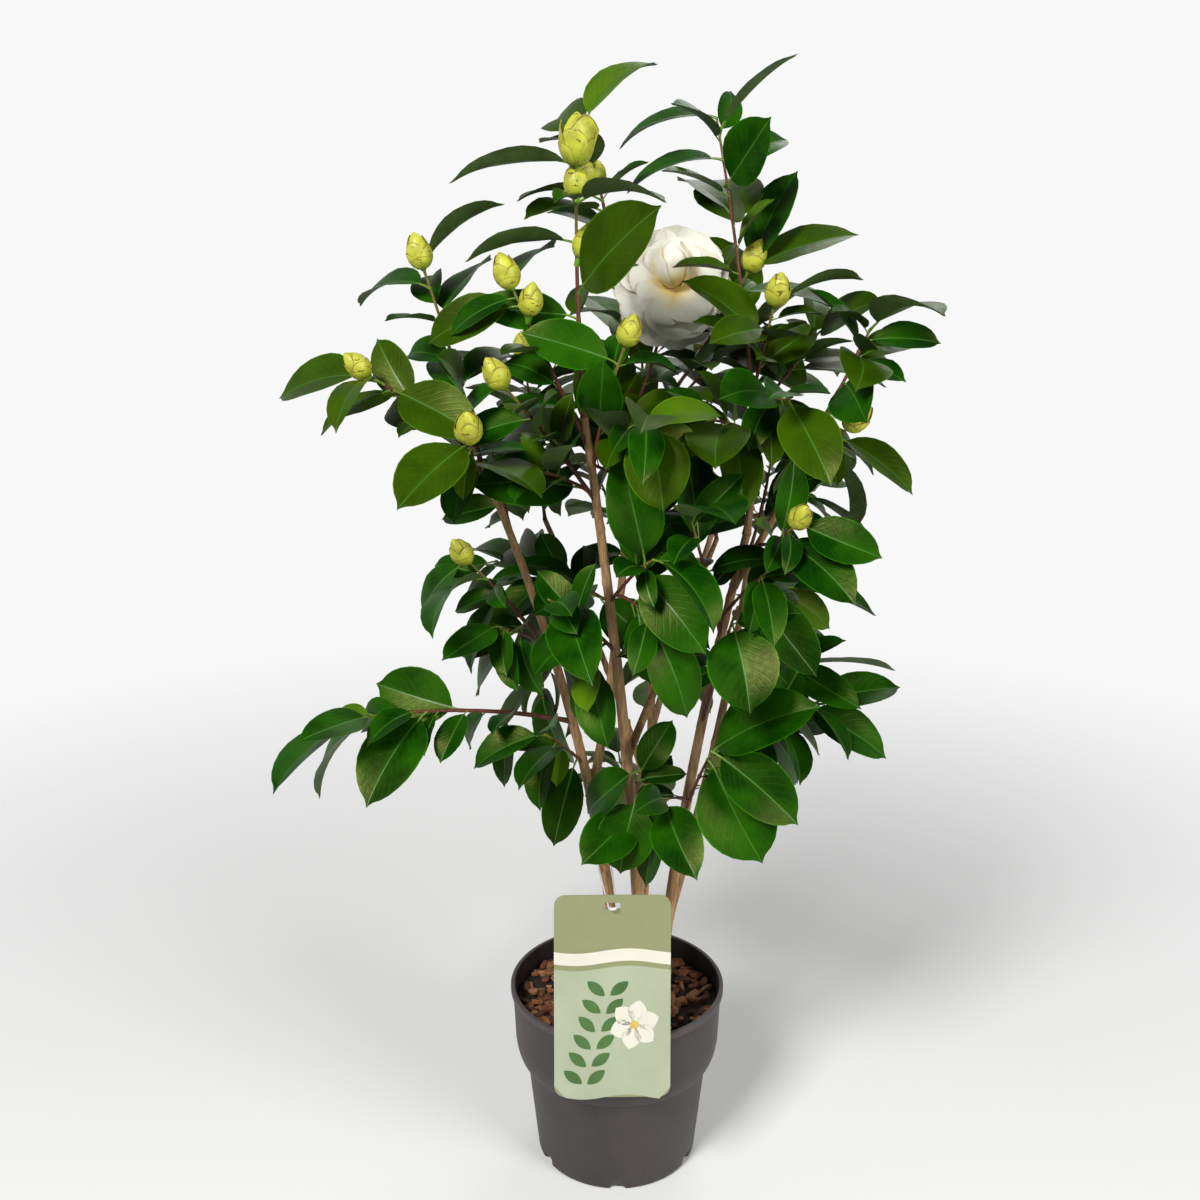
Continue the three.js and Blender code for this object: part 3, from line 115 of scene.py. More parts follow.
# Each mass: the limb that bears it, the share of the way along it, its main shoot, and the
# shoots that fork from that one.
MASSES = {
    "left_top": ("stem_left", 1, [
        shoot((-145, -52, 783), (4, 0, 0), 1, [
            (1, 25, 55, 70, 0.55, 45, "back"), (0.9, 150, 10, 75, 0.5, 50, "right"),
            (0.75, 65, 40, 75, 0.55, 20, "left"), (0.35, -85, 30, 65, 0.5, 30, "right")], buds=(1,))]),
    "left_upper": ("stem_left", 0.965, [
        shoot((-187, -62, 706), (0, 0, 16), 1, [
            (0.8, -35, -15, 75, 0.6, 20, "half"), (1, 165, -5, 75, 0.65, 25, "up"),
            (0.9, -115, 10, 75, 0.4, 75, "up")], buds=(1,), droop=0.35),
        shoot((-109, -105, 664), (0, -4, -8), 1, [
            (0.95, -125, -20, 75, 0.6, 20, "half"),
            (0.45, -45, 0, 70, 0.65, 25, "right")], at=0.1, buds=(1,))]),
    "left_back": ("stem_left", 0.86, [
        shoot((-108, 60, 636), (0, 0, -6), 3)]),
    "left_mid": ("stem_left", 0.66, [
        shoot((-116, -68, 565), (0, 0, 8), 2, [
            (1, 155, -40, 70, 0.4, 30, "left"),
            (0.8, -125, 10, 90, 0.4, 60, "left")], buds=(1,), droop=1.1),
        shoot((-93, -70, 513), (0, 0, 6), 2, [
            (0.65, 150, -45, 75, 0.5, 30, "up")], at=0.12, size=0.8, droop=1.2)]),
    "left_low": ("stem_left", 0.545, [
        shoot((-205, -62, 436), (0, 0, 16), 1, [
            (0.3, -120, -70, 55, 0.5, 20, "left"), (0.53, 170, 15, 70, 0.7, 15, "front"),
            (0.7, -120, -30, 85, 0.6, 20, "half"), (0.95, -115, 15, 75, 0.4, 25, "half"),
            (1, -130, -5, 90, 0.55, 30, "back")], size=1.12, droop=0.55, bare=0.22)]),
    "left_low_inner": ("stem_left", 0.465, [
        shoot((-60, -55, 419), (0, 0, 4), 1, [
            (0.55, -115, 10, 75, 0.45, 30, "back"),
            (0.15, -125, -60, 70, 0.5, 25, "half")], size=0.95, droop=1.3)]),
    "middle_top": ("stem_middle", 1, [
        shoot((-32, -66, 854), (-4, 0, 0), 1, [
            (0.5, -55, 35, 95, 0.55, 15, "front"), (1, -170, 5, 85, 0.4, 30, "back"),
            (0.85, -45, 15, 85, 0.45, 35, "back"), (0.7, 180, 5, 75, 0.5, 35, "back"),
            (0.4, -170, 10, 70, 0.45, 20, "front")], buds=(1, 0.86, 0.62), top_bud=1.25)]),
    "middle_top_left": ("stem_middle", 0.955, [
        shoot((-78, -84, 770), (4, 0, -8), 1, [
            (1, 70, 35, 65, 0.6, 30, "left"), (0.9, 175, -15, 70, 0.55, 25, "half"),
            (0.15, 70, 45, 70, 0.55, 25, "right")], buds=(1, 0.82))]),
    "middle_bud": ("stem_middle", 0.92, [
        shoot((3, -90, 730), (-6, 0, 0), 1, [
            (0.85, -170, 20, 66, 0.55, 20, "front"), (0.35, -90, 50, 55, 0.65, 20, "front")], buds=(1,)),
        shoot((21, -105, 679), (0, 0, 6), 3, [
            (0.9, -75, -55, 60, 0.8, 25, "front")], at=0.12, size=1.05)]),
    "middle_left": ("stem_middle", 0.875, [
        shoot((-84, -90, 700), (0, 0, 6), 3, [
            (1, 140, -25, 70, 0.5, 30, "up")], buds=(1,)),
        shoot((-78, -85, 639), (0, 0, 8), 5, [
            (0.05, -155, 10, 80, 0.6, 20, "half")], at=0.1, size=1.05)]),
    "middle_right_mid": ("stem_middle", 0.72, [
        shoot((25, -102, 575), (0, 0, 8), 4),
        shoot((22, -98, 527), (0, 0, 8), 4, at=0.14)]),
    "middle_left_low": ("stem_middle", 0.64, [
        shoot((-54, -100, 544), (0, 0, 8), 3, [
            (0.35, -120, 0, 75, 0.5, 25, "up")], size=0.95),
        shoot((-23, -78, 483), (0, 0, 8), 4, at=0.14, size=0.95)]),
    "middle_foot": ("stem_middle", 0.33, [
        shoot((17, -60, 392), (0, 0, 8), 2, [
            (0.55, -120, -65, 60, 0.8, 15, "front"), (0.95, 150, -40, 70, 0.55, 20, "up"),
            (0.25, -130, -15, 60, 0.75, 20, "half")], size=1.05, bare=0.3)]),
    "inner_top": ("bough_left_inner", 1, [
        shoot((-27, 6, 887), (12, 0, 0), 3, [
            (1, 20, 60, 75, 0.6, 55, "up"),
            (0.7, -135, 10, 75, 0.5, 30, "up")], buds=(0.78,), twigs=1, size=0.95, turn=90)]),
    "bloom_spray": ("bough_left_inner", 0.95, [
        shoot((42, 18, 769), (4, 8, -6), 2, [
            (0.15, 55, -75, 75, 0.65, 25, "half")], bloom=(-84, 14))]),
    "inner_right": ("bough_left_inner", 0.9, [
        shoot((99, -6, 780), (0, -8, -16), 1, [
            (1, 5, 70, 75, 0.55, 15, "left"), (1, -10, 30, 80, 0.55, 30, "up"),
            (0.45, 5, 45, 80, 0.5, 25, "back"), (0.9, -30, 5, 75, 0.5, 30, "up")], buds=(1,)),
        shoot((93, 28, 734), (0, 0, -14), 4, [
            (1, -15, -30, 70, 0.6, 30, "right")], at=0.12)]),
    "inner_left": ("bough_left_inner", 0.82, [
        shoot((-69, 35, 653), (0, 0, -8), 7, size=1.05)]),
    "inner_mid": ("bough_left_inner", 0.62, [
        shoot((57, 0, 625), (0, 0, -4), 7, size=1.05)]),
    "inner_left_low": ("bough_left_inner", 0.5, [
        shoot((-62, 40, 532), (0, 0, 0), 5, [
            (0.25, -55, -20, 75, 0.55, 25, "front"), (0.3, -120, 10, 75, 0.55, 25, "half")])]),
    "right_top": ("bough_right_upright", 1, [
        shoot((72, -6, 891), (4, 0, 0), 1, [
            (0.75, -75, 35, 65, 0.65, 20, "front"), (0.6, 90, 40, 70, 0.8, 20, "front"),
            (0.95, -45, 45, 75, 0.35, 20, "up"), (1, 165, 5, 75, 0.5, 45, "up"),
            (0.85, 165, 0, 75, 0.5, 40, "up"), (0.65, 125, 35, 65, 0.5, 25, "up")], size=0.75, turn=100)]),
    "right_bud": ("bough_right_upright", 0.95, [
        shoot((114, -52, 756), (-2, 0, 0), 2, [
            (1, 20, 30, 65, 0.5, 35, "back")], buds=(1,)),
        shoot((124, -80, 690), (0, 0, -4), 2, [
            (0.4, -45, -25, 65, 0.42, 30, "half")], at=0.12)]),
    "right_second": ("bough_right_upright", 0.86, [
        shoot((155, 12, 729), (0, 0, -6), 2, [
            (1, -70, 30, 70, 0.5, 30, "half")])]),
    "right_inner": ("bough_right_upright", 0.7, [
        shoot((63, -70, 674), (0, 0, 6), 4, [
            (0.55, -100, -5, 75, 0.65, 25, "half"), (0.3, 45, -5, 65, 0.6, 30, "left")], size=1.05)]),
    "outer_top": ("bough_right_outer", 1, [
        shoot((184, -60, 739), (0, 0, 0), 0, [
            (1, -60, 35, 75, 0.6, 55, "back"), (0.55, -95, 0, 70, 0.6, 30, "up"),
            (0.15, -95, -10, 70, 0.6, 20, "left")])]),
    "outer_side": ("bough_right_outer", 0.78, [
        shoot((168, -78, 669), (0, 0, -6), 2, buds=(1,)),
        shoot((165, 25, 645), (0, 0, -6), 3, at=0.14)]),
    "outer_low": ("bough_right_outer", 0.24, [
        shoot((129, -98, 600), (0, 0, -8), 2, [
            (0.6, -60, -15, 80, 0.5, 25, "half"),
            (1, -30, -10, 60, 0.6, 25, "half")], buds=(1,), size=1.1)]),
    "right_mid_left": ("stem_right", 0.8, [
        shoot((52, -92, 603), (0, 0, 6), 3, [
            (0.1, -155, -5, 80, 0.5, 30, "half")], size=1.1),
        shoot((113, -85, 563), (0, 0, 6), 5, at=0.12, size=0.95)]),
    "right_heart": ("stem_right", 0.62, [
        shoot((88, -98, 538), (0, 0, 8), 2, [
            (0.85, -80, -45, 65, 0.85, 25, "front")], size=1.1, droop=1.3)]),
    "right_foot": ("stem_right", 0.42, [
        shoot((74, -72, 411), (0, 0, 8), 1, [
            (1, -30, -30, 80, 0.6, 20, "half"),
            (0.85, -45, -50, 85, 0.75, 20, "half")], size=1.18, droop=1.2),
        shoot((38, -50, 360), (0, 0, 5), 2, [
            (1, -75, -20, 70, 0.6, 25, "front"),
            (0.9, -145, -65, 70, 0.45, 25, "left")], at=0.18, size=0.95, droop=1.4)]),
    "right_rear_top": ("bough_right_rear", 1, [
        shoot((131, 60, 632), (4, 0, 0), 3, [
            (0.25, -5, 45, 65, 0.55, 20, "up"), (0.45, -65, 30, 75, 0.5, 25, "left"),
            (0.3, -155, 0, 85, 0.5, 25, "up")], buds=(1,))]),
    "right_rear_side": ("bough_right_rear", 0.9, [
        shoot((140, 25, 522), (0, 0, -6), 2, [
            (0.65, 0, -30, 60, 0.5, 25, "half")])]),
    "right_low_upper": ("bough_right_rear", 0.62, [
        shoot((152, -4, 462), (0, 0, 4), 1, [
            (1, -125, -25, 70, 0.55, 25, "front"), (0.85, -55, -5, 70, 0.45, 25, "half"),
            (1, 10, 5, 75, 0.4, 25, "back")])]),
    "right_low": ("bough_right_rear", 0.48, [
        shoot((162, -30, 437), (0, 0, -2), 2, [
            (0.85, -15, -20, 75, 0.55, 25, "right"),
            (0.45, 15, -50, 70, 0.6, 25, "right")], size=1.1, droop=0.8)]),
    "right_rear_back": ("bough_right_rear", 0.75, [
        shoot((136, 110, 487), (0, 0, -6), 4)]),
    "centre_rear_top": ("bough_centre_rear", 1, [
        shoot((76, 110, 703), (0, 0, 0), 7, buds=(1,), twigs=1)]),
    "rear_top": ("stem_rear", 1, [
        shoot((20, 128, 728), (0, 0, 0), 7, [
            (0.8, -95, -25, 75, 0.55, 25, "left")], buds=(1,), twigs=1)]),
    "rear_side": ("stem_rear", 0.8, [
        shoot((-15, 165, 588), (0, 0, 0), 6)]),
    "rear_mid": ("stem_rear", 0.62, [
        shoot((62, 165, 432), (0, 0, 0), 7)]),
    "rear_low": ("stem_rear", 0.33, [
        shoot((4, 150, 314), (0, 0, 0), 5, size=1.05)]),
    "rear_left_top": ("bough_rear_left", 1, [
        shoot((-81, 110, 703), (0, 0, 0), 7, buds=(1,), twigs=1)]),
    "rear_left_side": ("bough_rear_left", 0.7, [
        shoot((-110, 110, 524), (0, 0, 0), 4, [
            (0.35, -110, 5, 70, 0.5, 25, "half")]),
        shoot((-70, 95, 405), (0, 0, 0), 3, at=0.14)]),
    "rear_right_top": ("bough_rear_right", 1, [
        shoot((112, 95, 722), (0, 0, 0), 6, [
            (1, -30, 50, 70, 0.55, 25, "up")], twigs=1)]),
    "rear_right_side": ("bough_rear_right", 0.7, [
        shoot((179, 120, 587), (0, 0, 0), 7)]),
}

# ---- random draws, directions and curves ------------------------------------------------------
def make_draw(seed):
    """A run of even random draws from a linear congruential generator, the same on any machine."""
    state = [seed]

    def draw(low, high):
        state[0] = (state[0] * 1664525 + 1013904223) % 4294967296
        return low + (high - low) * state[0] / 4294967296

    for _ in range(3):
        draw(0, 1)
    return draw


def vec(values):
    """The values as an array of floats."""
    return np.array(values, dtype=float)


def unit(v):
    """The vectors scaled to length one, along the last axis."""
    return v / np.linalg.norm(v, axis=-1, keepdims=True)


def circle(count):
    """Even turns round a circle, in radians."""
    return np.arange(count) * 2 * math.pi / count


def heading(azimuth, rise):
    """Unit vector of a compass angle in the level plane and a rise above it, in degrees."""
    a, r = math.radians(azimuth), math.radians(rise)
    return np.array((math.cos(a) * math.cos(r), math.sin(a) * math.cos(r), math.sin(r)))


def along(pairs, x):
    """Value at x of the broken line through the pairs (x, y)."""
    return np.interp(x, *vec(pairs).T)


def smooth_along(pairs, x):
    """Value at x of the smooth curve through the pairs: cubic pieces whose slope at each pair is
    that of the straight line between its two neighbours."""
    xs, ys = vec(pairs).T
    slopes = np.gradient(ys, xs)
    i = np.clip(np.searchsorted(xs, x, side="right") - 1, 0, len(xs) - 2)
    wide = xs[i + 1] - xs[i]
    u = np.clip((x - xs[i]) / wide, 0, 1)
    start = ys[i] * (1 + 2 * u) * (1 - u) ** 2 + slopes[i] * wide * u * (1 - u) ** 2
    end = ys[i + 1] * u * u * (3 - 2 * u) + slopes[i + 1] * wide * u * u * (u - 1)
    return start + end


class Branch:
    """A quadratic curve from a to c that leans towards b, with a radius that tapers evenly."""

    def __init__(self, a, b, c, radius, grounded=False):
        self.a, self.b, self.c, self.radius, self.grounded = a, b, c, radius, grounded
        self.length = np.linalg.norm(c - a)

    def point(self, t):
        """Points at the shares t: the three points weighed by (1-t)^2, 2t(1-t) and t^2."""
        t = np.asarray(t, dtype=float)[..., None]
        return self.a * (1 - t) ** 2 + self.b * (2 * t * (1 - t)) + self.c * (t * t)

    def ahead(self, t):
        """Unit tangents at the shares t."""
        t = np.asarray(t, dtype=float)[..., None]
        return unit((self.b - self.a) * (2 * (1 - t)) + (self.c - self.b) * (2 * t))

    def girth(self, t):
        """Radius at the shares t."""
        return self.radius[0] + (self.radius[1] - self.radius[0]) * t


def bowed(a, tip, bow, radius, grounded=False):
    """A branch whose middle stands off the straight line from a to its tip by half the bow."""
    tip = vec(tip)
    return Branch(a, (a + tip) * 0.5 + vec(bow), tip, radius, grounded)


def leaving(direction, turn, spread):
    """Direction that leaves a shoot at an angle: the turn is a compass bearing on a steep shoot,
    and on a level one it is counted round the shoot from its side."""
    r, s = math.radians(turn), math.radians(spread)
    if direction[2] > STEEP:
        bearing = np.array((math.cos(r), math.sin(r), 0.0))
        aside = unit(bearing - direction * (bearing @ direction))
    else:
        side = unit(np.cross(direction, UP))
        over = np.cross(side, direction)
        aside = unit(side * math.cos(r) + over * (math.sin(r) * 0.6))
    return unit(direction * math.cos(s) + aside * math.sin(s))


# ---- leaf blades ------------------------------------------------------------------------------
# A shoot is steep, and its leaves stand in a spiral, where its direction rises by more than this.
STEEP = 0.8
# Half width of a blade, as a share of its widest, by the share of its length.
LEAF_OUTLINE = [
    (0, 0), (0.06, 0.34), (0.15, 0.66), (0.28, 0.92), (0.42, 1), (0.56, 0.97), (0.7, 0.83),
    (0.82, 0.6), (0.91, 0.32), (0.97, 0.11), (1, 0),
]
STATIONS = 0.03 + 0.93 * np.arange(8) / 7
ACROSS = np.array((-0.8, -0.4, 0, 0.4, 0.8))


def blade_points(blade, first=0):
    """Sample points of a blade: the midrib is an arc that turns down by the bend, and the two
    halves rise from it by the fold, like a shallow V."""
    t, s = np.meshgrid(STATIONS[first:], ACROSS, indexing="ij")
    t, s = t.reshape(-1, 1), s.reshape(-1, 1)
    turn = blade["bend"] * t
    run = blade["length"] * np.sin(turn) / blade["bend"]
    drop = blade["length"] * (1 - np.cos(turn)) / blade["bend"]
    over = blade["along"] * np.sin(turn) + blade["normal"] * np.cos(turn)
    half = blade["width"] / 2 * along(LEAF_OUTLINE, t)
    rise = half * np.abs(s) * math.sin(blade["fold"])
    return (blade["base"] + blade["along"] * run - blade["normal"] * drop
            + blade["side"] * (half * s * math.cos(blade["fold"])) + over * rise)


def outward(root):
    """Level vector away from the crown's middle, of length one at 60 mm and further out."""
    out = np.array((root[0] - CROWN_AXIS[0], root[1] - CROWN_AXIS[1], 0.0))
    return out / max(60, np.linalg.norm(out))


def make_blade(root, leaves, runs, size, facing):
    """A blade that grows from a root on its shoot, leaves it along one way and runs on along
    another, its upper side turned to the light."""
    light = vec(FACING[facing]) + outward(root) * (0.45 if facing == "up" else 0)
    normal = light - runs * (light @ runs)
    if np.linalg.norm(normal) < 0.2:
        normal = leaves - runs * (leaves @ runs)
    normal = unit(normal)
    side = np.cross(runs, normal)
    roll = math.radians(size["roll"])
    return {
        "root": root, "along": runs, "leaves": leaves,
        "normal": normal * math.cos(roll) + side * math.sin(roll),
        "side": side * math.cos(roll) - normal * math.sin(roll),
        "base": root + unit(leaves + runs) * size.get("stalk", LEAF["stalk"]),
        "length": size["length"], "width": size["length"] * size["width"],
        "bend": math.radians(size["bend"]), "fold": math.radians(size["fold"]),
    }


# ---- the space that is taken ------------------------------------------------------------------
class Space:
    """Balls of taken space, each with a centre, a radius and an owner."""

    def __init__(self, room=60000):
        self.centres, self.radii = np.zeros((room, 3)), np.zeros(room)
        self.owners = np.zeros(room, dtype=int)
        self.names, self.count = {}, 0

    def number(self, owner):
        """A number for the owner's name."""
        return self.names.setdefault(owner, len(self.names))

    def take(self, points, radius, owner):
        """Adds a ball round each point."""
        points = np.atleast_2d(points)
        new = slice(self.count, self.count + len(points))
        self.centres[new], self.radii[new], self.owners[new] = points, radius, self.number(owner)
        self.count = new.stop

    def is_clear(self, points, gap, passing):
        """True if every point stands more than the gap off every ball but those passed over."""
        middle = points.mean(axis=0)
        reach = np.sqrt(((points - middle) ** 2).sum(axis=1)).max()
        centres, radii = self.centres[:self.count], self.radii[:self.count]
        near = ((centres - middle) ** 2).sum(axis=1) < (reach + gap + radii) ** 2
        near &= ~np.isin(self.owners[:self.count], [self.number(owner) for owner in passing])
        return bool((distances(points, centres[near]) - radii[near] > gap).all())


def distances(points, others):
    """The distance from each point to each of the others."""
    return np.sqrt(((points[:, None] - others[None]) ** 2).sum(axis=2))


# ---- the hang card's place --------------------------------------------------------------------
def card_points(across, through, up):
    """Points of the hang card from their shares across, through and up its face. The card leans
    out over the rim and is a little wavy from side to side."""
    lean = math.asin((CARD["head_y"] - CARD["foot_y"]) / CARD["height"])
    height = CARD["height"] * (up + 0.5)
    proud = through * CARD["thickness"] + 1.6 * np.sin(across * 2.2 + up * 2)
    return np.stack(np.broadcast_arrays(
        CARD["x"] + across * CARD["width"],
        CARD["foot_y"] + height * math.sin(lean) + proud * math.cos(lean),
        CARD["foot_z"] + height * math.cos(lean) - proud * math.sin(lean),
    ), axis=-1)


def card_seat():
    """The point where the card hangs on its loop, by the upper edge of its slot."""
    centre = card_points(0, 0, 0.5 - CARD_SLOT["from_top"] / CARD["height"])
    return centre + UP * (CARD_SLOT["height"] / 2 - TIE["width"] / 2 - GAP)


# ---- growing the plant ------------------------------------------------------------------------
class Plant:
    """The shrub as it grows by the plan: limbs, bloom, shoots, buds, leaves and finer leaves."""

    def __init__(self):
        self.space = Space()
        self.limbs, self.shoots, self.buds, self.leaves = {}, [], [], []
        for up in np.linspace(-0.5, 0.5, 16):
            self.space.take(card_points(np.linspace(-0.5, 0.5, 9), 0, up), 3, "card")
        self.grow_limbs()
        share = np.linspace(0, 1, 8)[:, None]
        hold = self.limbs["stem_left"].point(TIE["share"])
        self.space.take(card_seat() * (1 - share) + hold * share, 6, "tie")
        self.grow_bloom()
        self.grow_shoots()
        self.grow_buds()
        self.grow_leading_leaves()
        self.grow_leaves()
        self.grow_fine_leaves()

    def grow_limbs(self):
        """Stems rise from the mix, boughs from the limbs that they fork from. The space before
        the open stretch of a stem is taken by rows of balls that rise towards the light."""
        for name, (parent, at, tip, bow, radius) in LIMBS.items():
            foot = self.limbs[parent].point(at) if parent else vec((*at, SOIL_TOP + GAP))
            self.limbs[name] = bowed(foot, tip, bow, radius, grounded=not parent)
        for name, limb in self.limbs.items():
            for t in np.linspace(0, 1, 60):
                self.space.take(limb.point(t), limb.girth(t), "limb " + name)
        for name, (low, high) in OPEN_FRONT.items():
            for t in np.linspace(low, high, int((high - low) * 45)):
                for d in range(14, 100, 12):
                    self.space.take(self.limbs[name].point(t) + np.array((0, -d, d * 0.27)), 1.5, "front")

    def grow_bloom(self):
        """The open bloom sits on the tip of its mass's main shoot, in four rings of balls."""
        plan = MASSES["bloom_spray"][2][0]
        direction, base = heading(*plan["bloom"]), vec(plan["tip"])
        side = unit(np.cross(direction, UP))
        over = np.cross(side, direction)
        for radius, height in ((0, 0.22), (0.2, 0.25), (0.4, 0.3), (0.48, 0.3)):
            for a in circle(12):
                across = side * (math.cos(a) * radius) + over * (math.sin(a) * radius)
                self.space.take(base + (direction * height + across) * BLOOM_WIDTH, 7, "bloom")
        self.bloom = dict(base=base, direction=direction, side=side, over=over)

    def add_shoot(self, mass, limb, branch, plan, count):
        """Keeps a shoot and takes its space."""
        made = dict(mass=mass, limb=limb, branch=branch, plan=plan, name="%s %d" % (mass, len(self.shoots)))
        self.shoots.append(made)
        self.space.take(branch.point(np.linspace(0.08, 1, count)), 1.6, made["name"])
        return made

    def grow_shoots(self):
        """Every mass has a main shoot, its side shoots, and what the seeded rule adds to them."""
        for number, (mass, (limb, at, plans)) in enumerate(MASSES.items()):
            draw = make_draw(SEED * 1000 + number * 17)
            parent = self.limbs[limb]
            for plan in plans:
                share = at if plan is plans[0] else plan["at"]
                root = parent.point(share)
                length = np.linalg.norm(vec(plan["tip"]) - root)
                thick = min(parent.girth(share) * TWIG["root_share"],
                            TWIG["slender"] + length / TWIG["per_length"])
                branch = bowed(root, plan["tip"], plan["bow"], (thick, TWIG["tip"]))
                made = self.add_shoot(mass, limb, branch, plan, max(4, int(length / 8)))
                if plan is plans[0]:
                    parent = branch
                self.grow_twigs(made, draw)

    def grow_twigs(self, parent, draw):
        """Side twigs of a shoot, each bending up from where it leaves."""
        plan, branch = parent["plan"], parent["branch"]
        for j in range(plan["twigs"]):
            at = 0.35 + 0.3 * j
            leaves = leaving(branch.ahead(at), draw(0, 360), 48)
            reach = max(40, min(80, branch.length * draw(0.36, 0.5)))
            start = branch.point(at)
            knee = start + leaves * (reach / 2)
            twig = Branch(start, knee, knee + unit(leaves + UP * 0.35) * (reach / 2), TWIG["side"])
            if self.space.is_clear(twig.point(np.linspace(0.25, 1, 8)), SPACING["twig"], [parent["name"]]):
                kept = shoot(None, None, 5, size=plan["size"], droop=plan["droop"])
                self.add_shoot(parent["mass"], parent["limb"], twig, kept, 8)

    def grow_buds(self):
        """Flower buds at the tips of the shoots and beside their leaves."""
        for i, made in enumerate(self.shoots):
            draw = make_draw(SEED * 500 + i * 13)
            plan, branch = made["plan"], made["branch"]
            for share in plan["buds"]:
                at_tip = share == 1
                root, ahead = branch.point(share), branch.ahead(share)
                turned = leaving(ahead, draw(0, 360), 38)
                direction = unit(ahead + UP * 0.3) if at_tip else unit(turned + UP * 0.5)
                base = root if at_tip else root + direction * BUD["stalk"]
                length = BUD["length"] * draw(0.85, 1.12) * (plan["top_bud"] if at_tip else 1)
                self.buds.append(dict(mass=made["mass"], root=root, base=base, direction=direction,
                                      length=length, top=at_tip and plan["top_bud"] != 1))
                for h in (0.25, 0.5, 0.75):
                    self.space.take(base + direction * (length * h), length * 0.36, "bud " + made["name"])

    def keep(self, blade, made, gap, passing):
        """Keeps a blade where all of it is clear of everything but its own shoot, which its outer
        part still stands off, as it does off its limb where that is passed over."""
        samples, outer = blade_points(blade), blade_points(blade, 2)
        limb = "limb " + made["limb"]
        if samples[:, 2].min() < SPACING["soil"]:
            return False
        others = [owner for owner in passing if owner != limb]
        if limb in passing and not self.space.is_clear(outer, SPACING["own_limb"], others):
            return False
        if not self.space.is_clear(samples, gap, passing):
            return False
        own = made["branch"].point(np.linspace(0, 1, 12))
        if (distances(outer, own) < SPACING["own_twig"]).any():
            return False
        self.leaves.append(blade)
        self.space.take(samples, 0, "leaf " + made["mass"])
        return True

    def grow_leading_leaves(self):
        """The leaves that the plan lists come first."""
        for made in self.shoots:
            for share, azimuth, rise, length, width, bend, facing in made["plan"]["show"]:
                root, runs = made["branch"].point(share), heading(azimuth, rise)
                away = unit(runs + made["branch"].ahead(share) * 0.6)
                size = dict(length=length, width=width, bend=bend, fold=12, roll=0)
                passing = [made["name"], "bud " + made["name"], "limb " + made["limb"], "front"]
                self.keep(make_blade(root, away, runs, size, facing), made, SPACING["leading"], passing)

    def try_turns(self, made, root, ahead, first, spread, asides, sag, out, size, gap):
        """Keeps the first leaf that finds room, tried at its own turn and at turns aside of it."""
        for aside in asides:
            away = leaving(ahead, first + aside, spread)
            runs = unit(away - UP * sag + outward(root) * out)
            if self.keep(make_blade(root, away, runs, size, "up"), made, gap, [made["name"]]):
                break

    def grow_leaves(self):
        """The seeded rule's leaves, in two ranks on a level shoot and in a spiral on a steep one."""
        for number, made in enumerate(self.shoots):
            plan, branch = made["plan"], made["branch"]
            draw = make_draw(SEED * 7919 + number * 131)
            drawn_turn = draw(0, 360)
            first_turn = drawn_turn if plan["turn"] is None else plan["turn"]
            for i in range(plan["leaves"]):
                share = 1 - (1 - plan["bare"]) * (i + 0.1) / plan["leaves"]
                root, ahead = branch.point(share), branch.ahead(share)
                length = LEAF["length"] * plan["size"] * draw(0.72, 1.16)
                pitch = 180 if ahead[2] <= STEEP else 137.5
                wobble = draw(-16, 16)
                spread = 34 + 30 * math.sqrt(i / plan["leaves"]) + draw(-8, 10)
                spread += 14 if plan["buds"] and i == 0 else 0
                droop = along(SAG, root[2]) if plan["droop"] is None else plan["droop"]
                sag = droop * (0.5 + 0.5 * min(1, i / 2)) + draw(-0.28, 0.3)
                size = dict(length=length, roll=draw(-26, 26), bend=draw(15, 58), fold=draw(7, 26),
                            width=draw(0.47, 0.62))
                self.try_turns(made, root, ahead, first_turn + i * pitch + wobble, spread,
                               (0, 38, -38, 76, -76, 114, -114, 180), sag, 0.15, size, SPACING["leaf"])

    def grow_fine_leaves(self):
        """Small leaves between the others, on short stalks, where there is room for them."""
        count = FINE_LEAF["count"]
        for number, made in enumerate(self.shoots):
            draw = make_draw(SEED * 3571 + number * 59)
            first_turn = draw(0, 360)
            for i in range(count):
                share = 0.96 - 0.72 * (i + draw(0, 0.6)) / count
                root, ahead = made["branch"].point(share), made["branch"].ahead(share)
                size = dict(length=LEAF["length"] * draw(0.45, 0.8), stalk=FINE_LEAF["stalk"],
                            roll=draw(-24, 24), bend=draw(15, 50), fold=draw(7, 24), width=draw(0.46, 0.6))
                sag = along(SAG, root[2]) * 0.6 + draw(-0.25, 0.3)
                self.try_turns(made, root, ahead, first_turn + i * 137.5, draw(34, 62),
                               (0, 60, -60, 120, -120, 180), sag, 0.1, size, FINE_LEAF["gap"])


# ---- meshes from arrays -----------------------------------------------------------------------
def grid_faces(rows, columns, wrap=False):
    """Quads between the points of a grid; with wrap the last column joins the first."""
    r, c = np.meshgrid(np.arange(rows - 1), np.arange(columns if wrap else columns - 1), indexing="ij")
    beside = (c + 1) % columns
    corners = (r * columns + c, r * columns + beside, (r + 1) * columns + beside, (r + 1) * columns + c)
    return np.stack(corners, axis=-1).reshape(-1, 4)


def fan_faces(ring, pole, wrap=True):
    """Triangles from a pole to each step of a ring of points, the last corner written twice."""
    beside = np.roll(ring, -1) if wrap else ring[1:]
    ring = ring if wrap else ring[:-1]
    poles = np.full(len(ring), pole)
    return np.stack((ring, beside, poles, poles), axis=-1)


def ring_faces(rings, sides):
    """Quads between rings of points, and a fan at each end to the two points that come last."""
    last = rings * sides
    return np.concatenate((grid_faces(rings, sides, wrap=True), fan_faces(np.arange(sides)[::-1], last),
                           fan_faces(np.arange(last - sides, last), last + 1)))


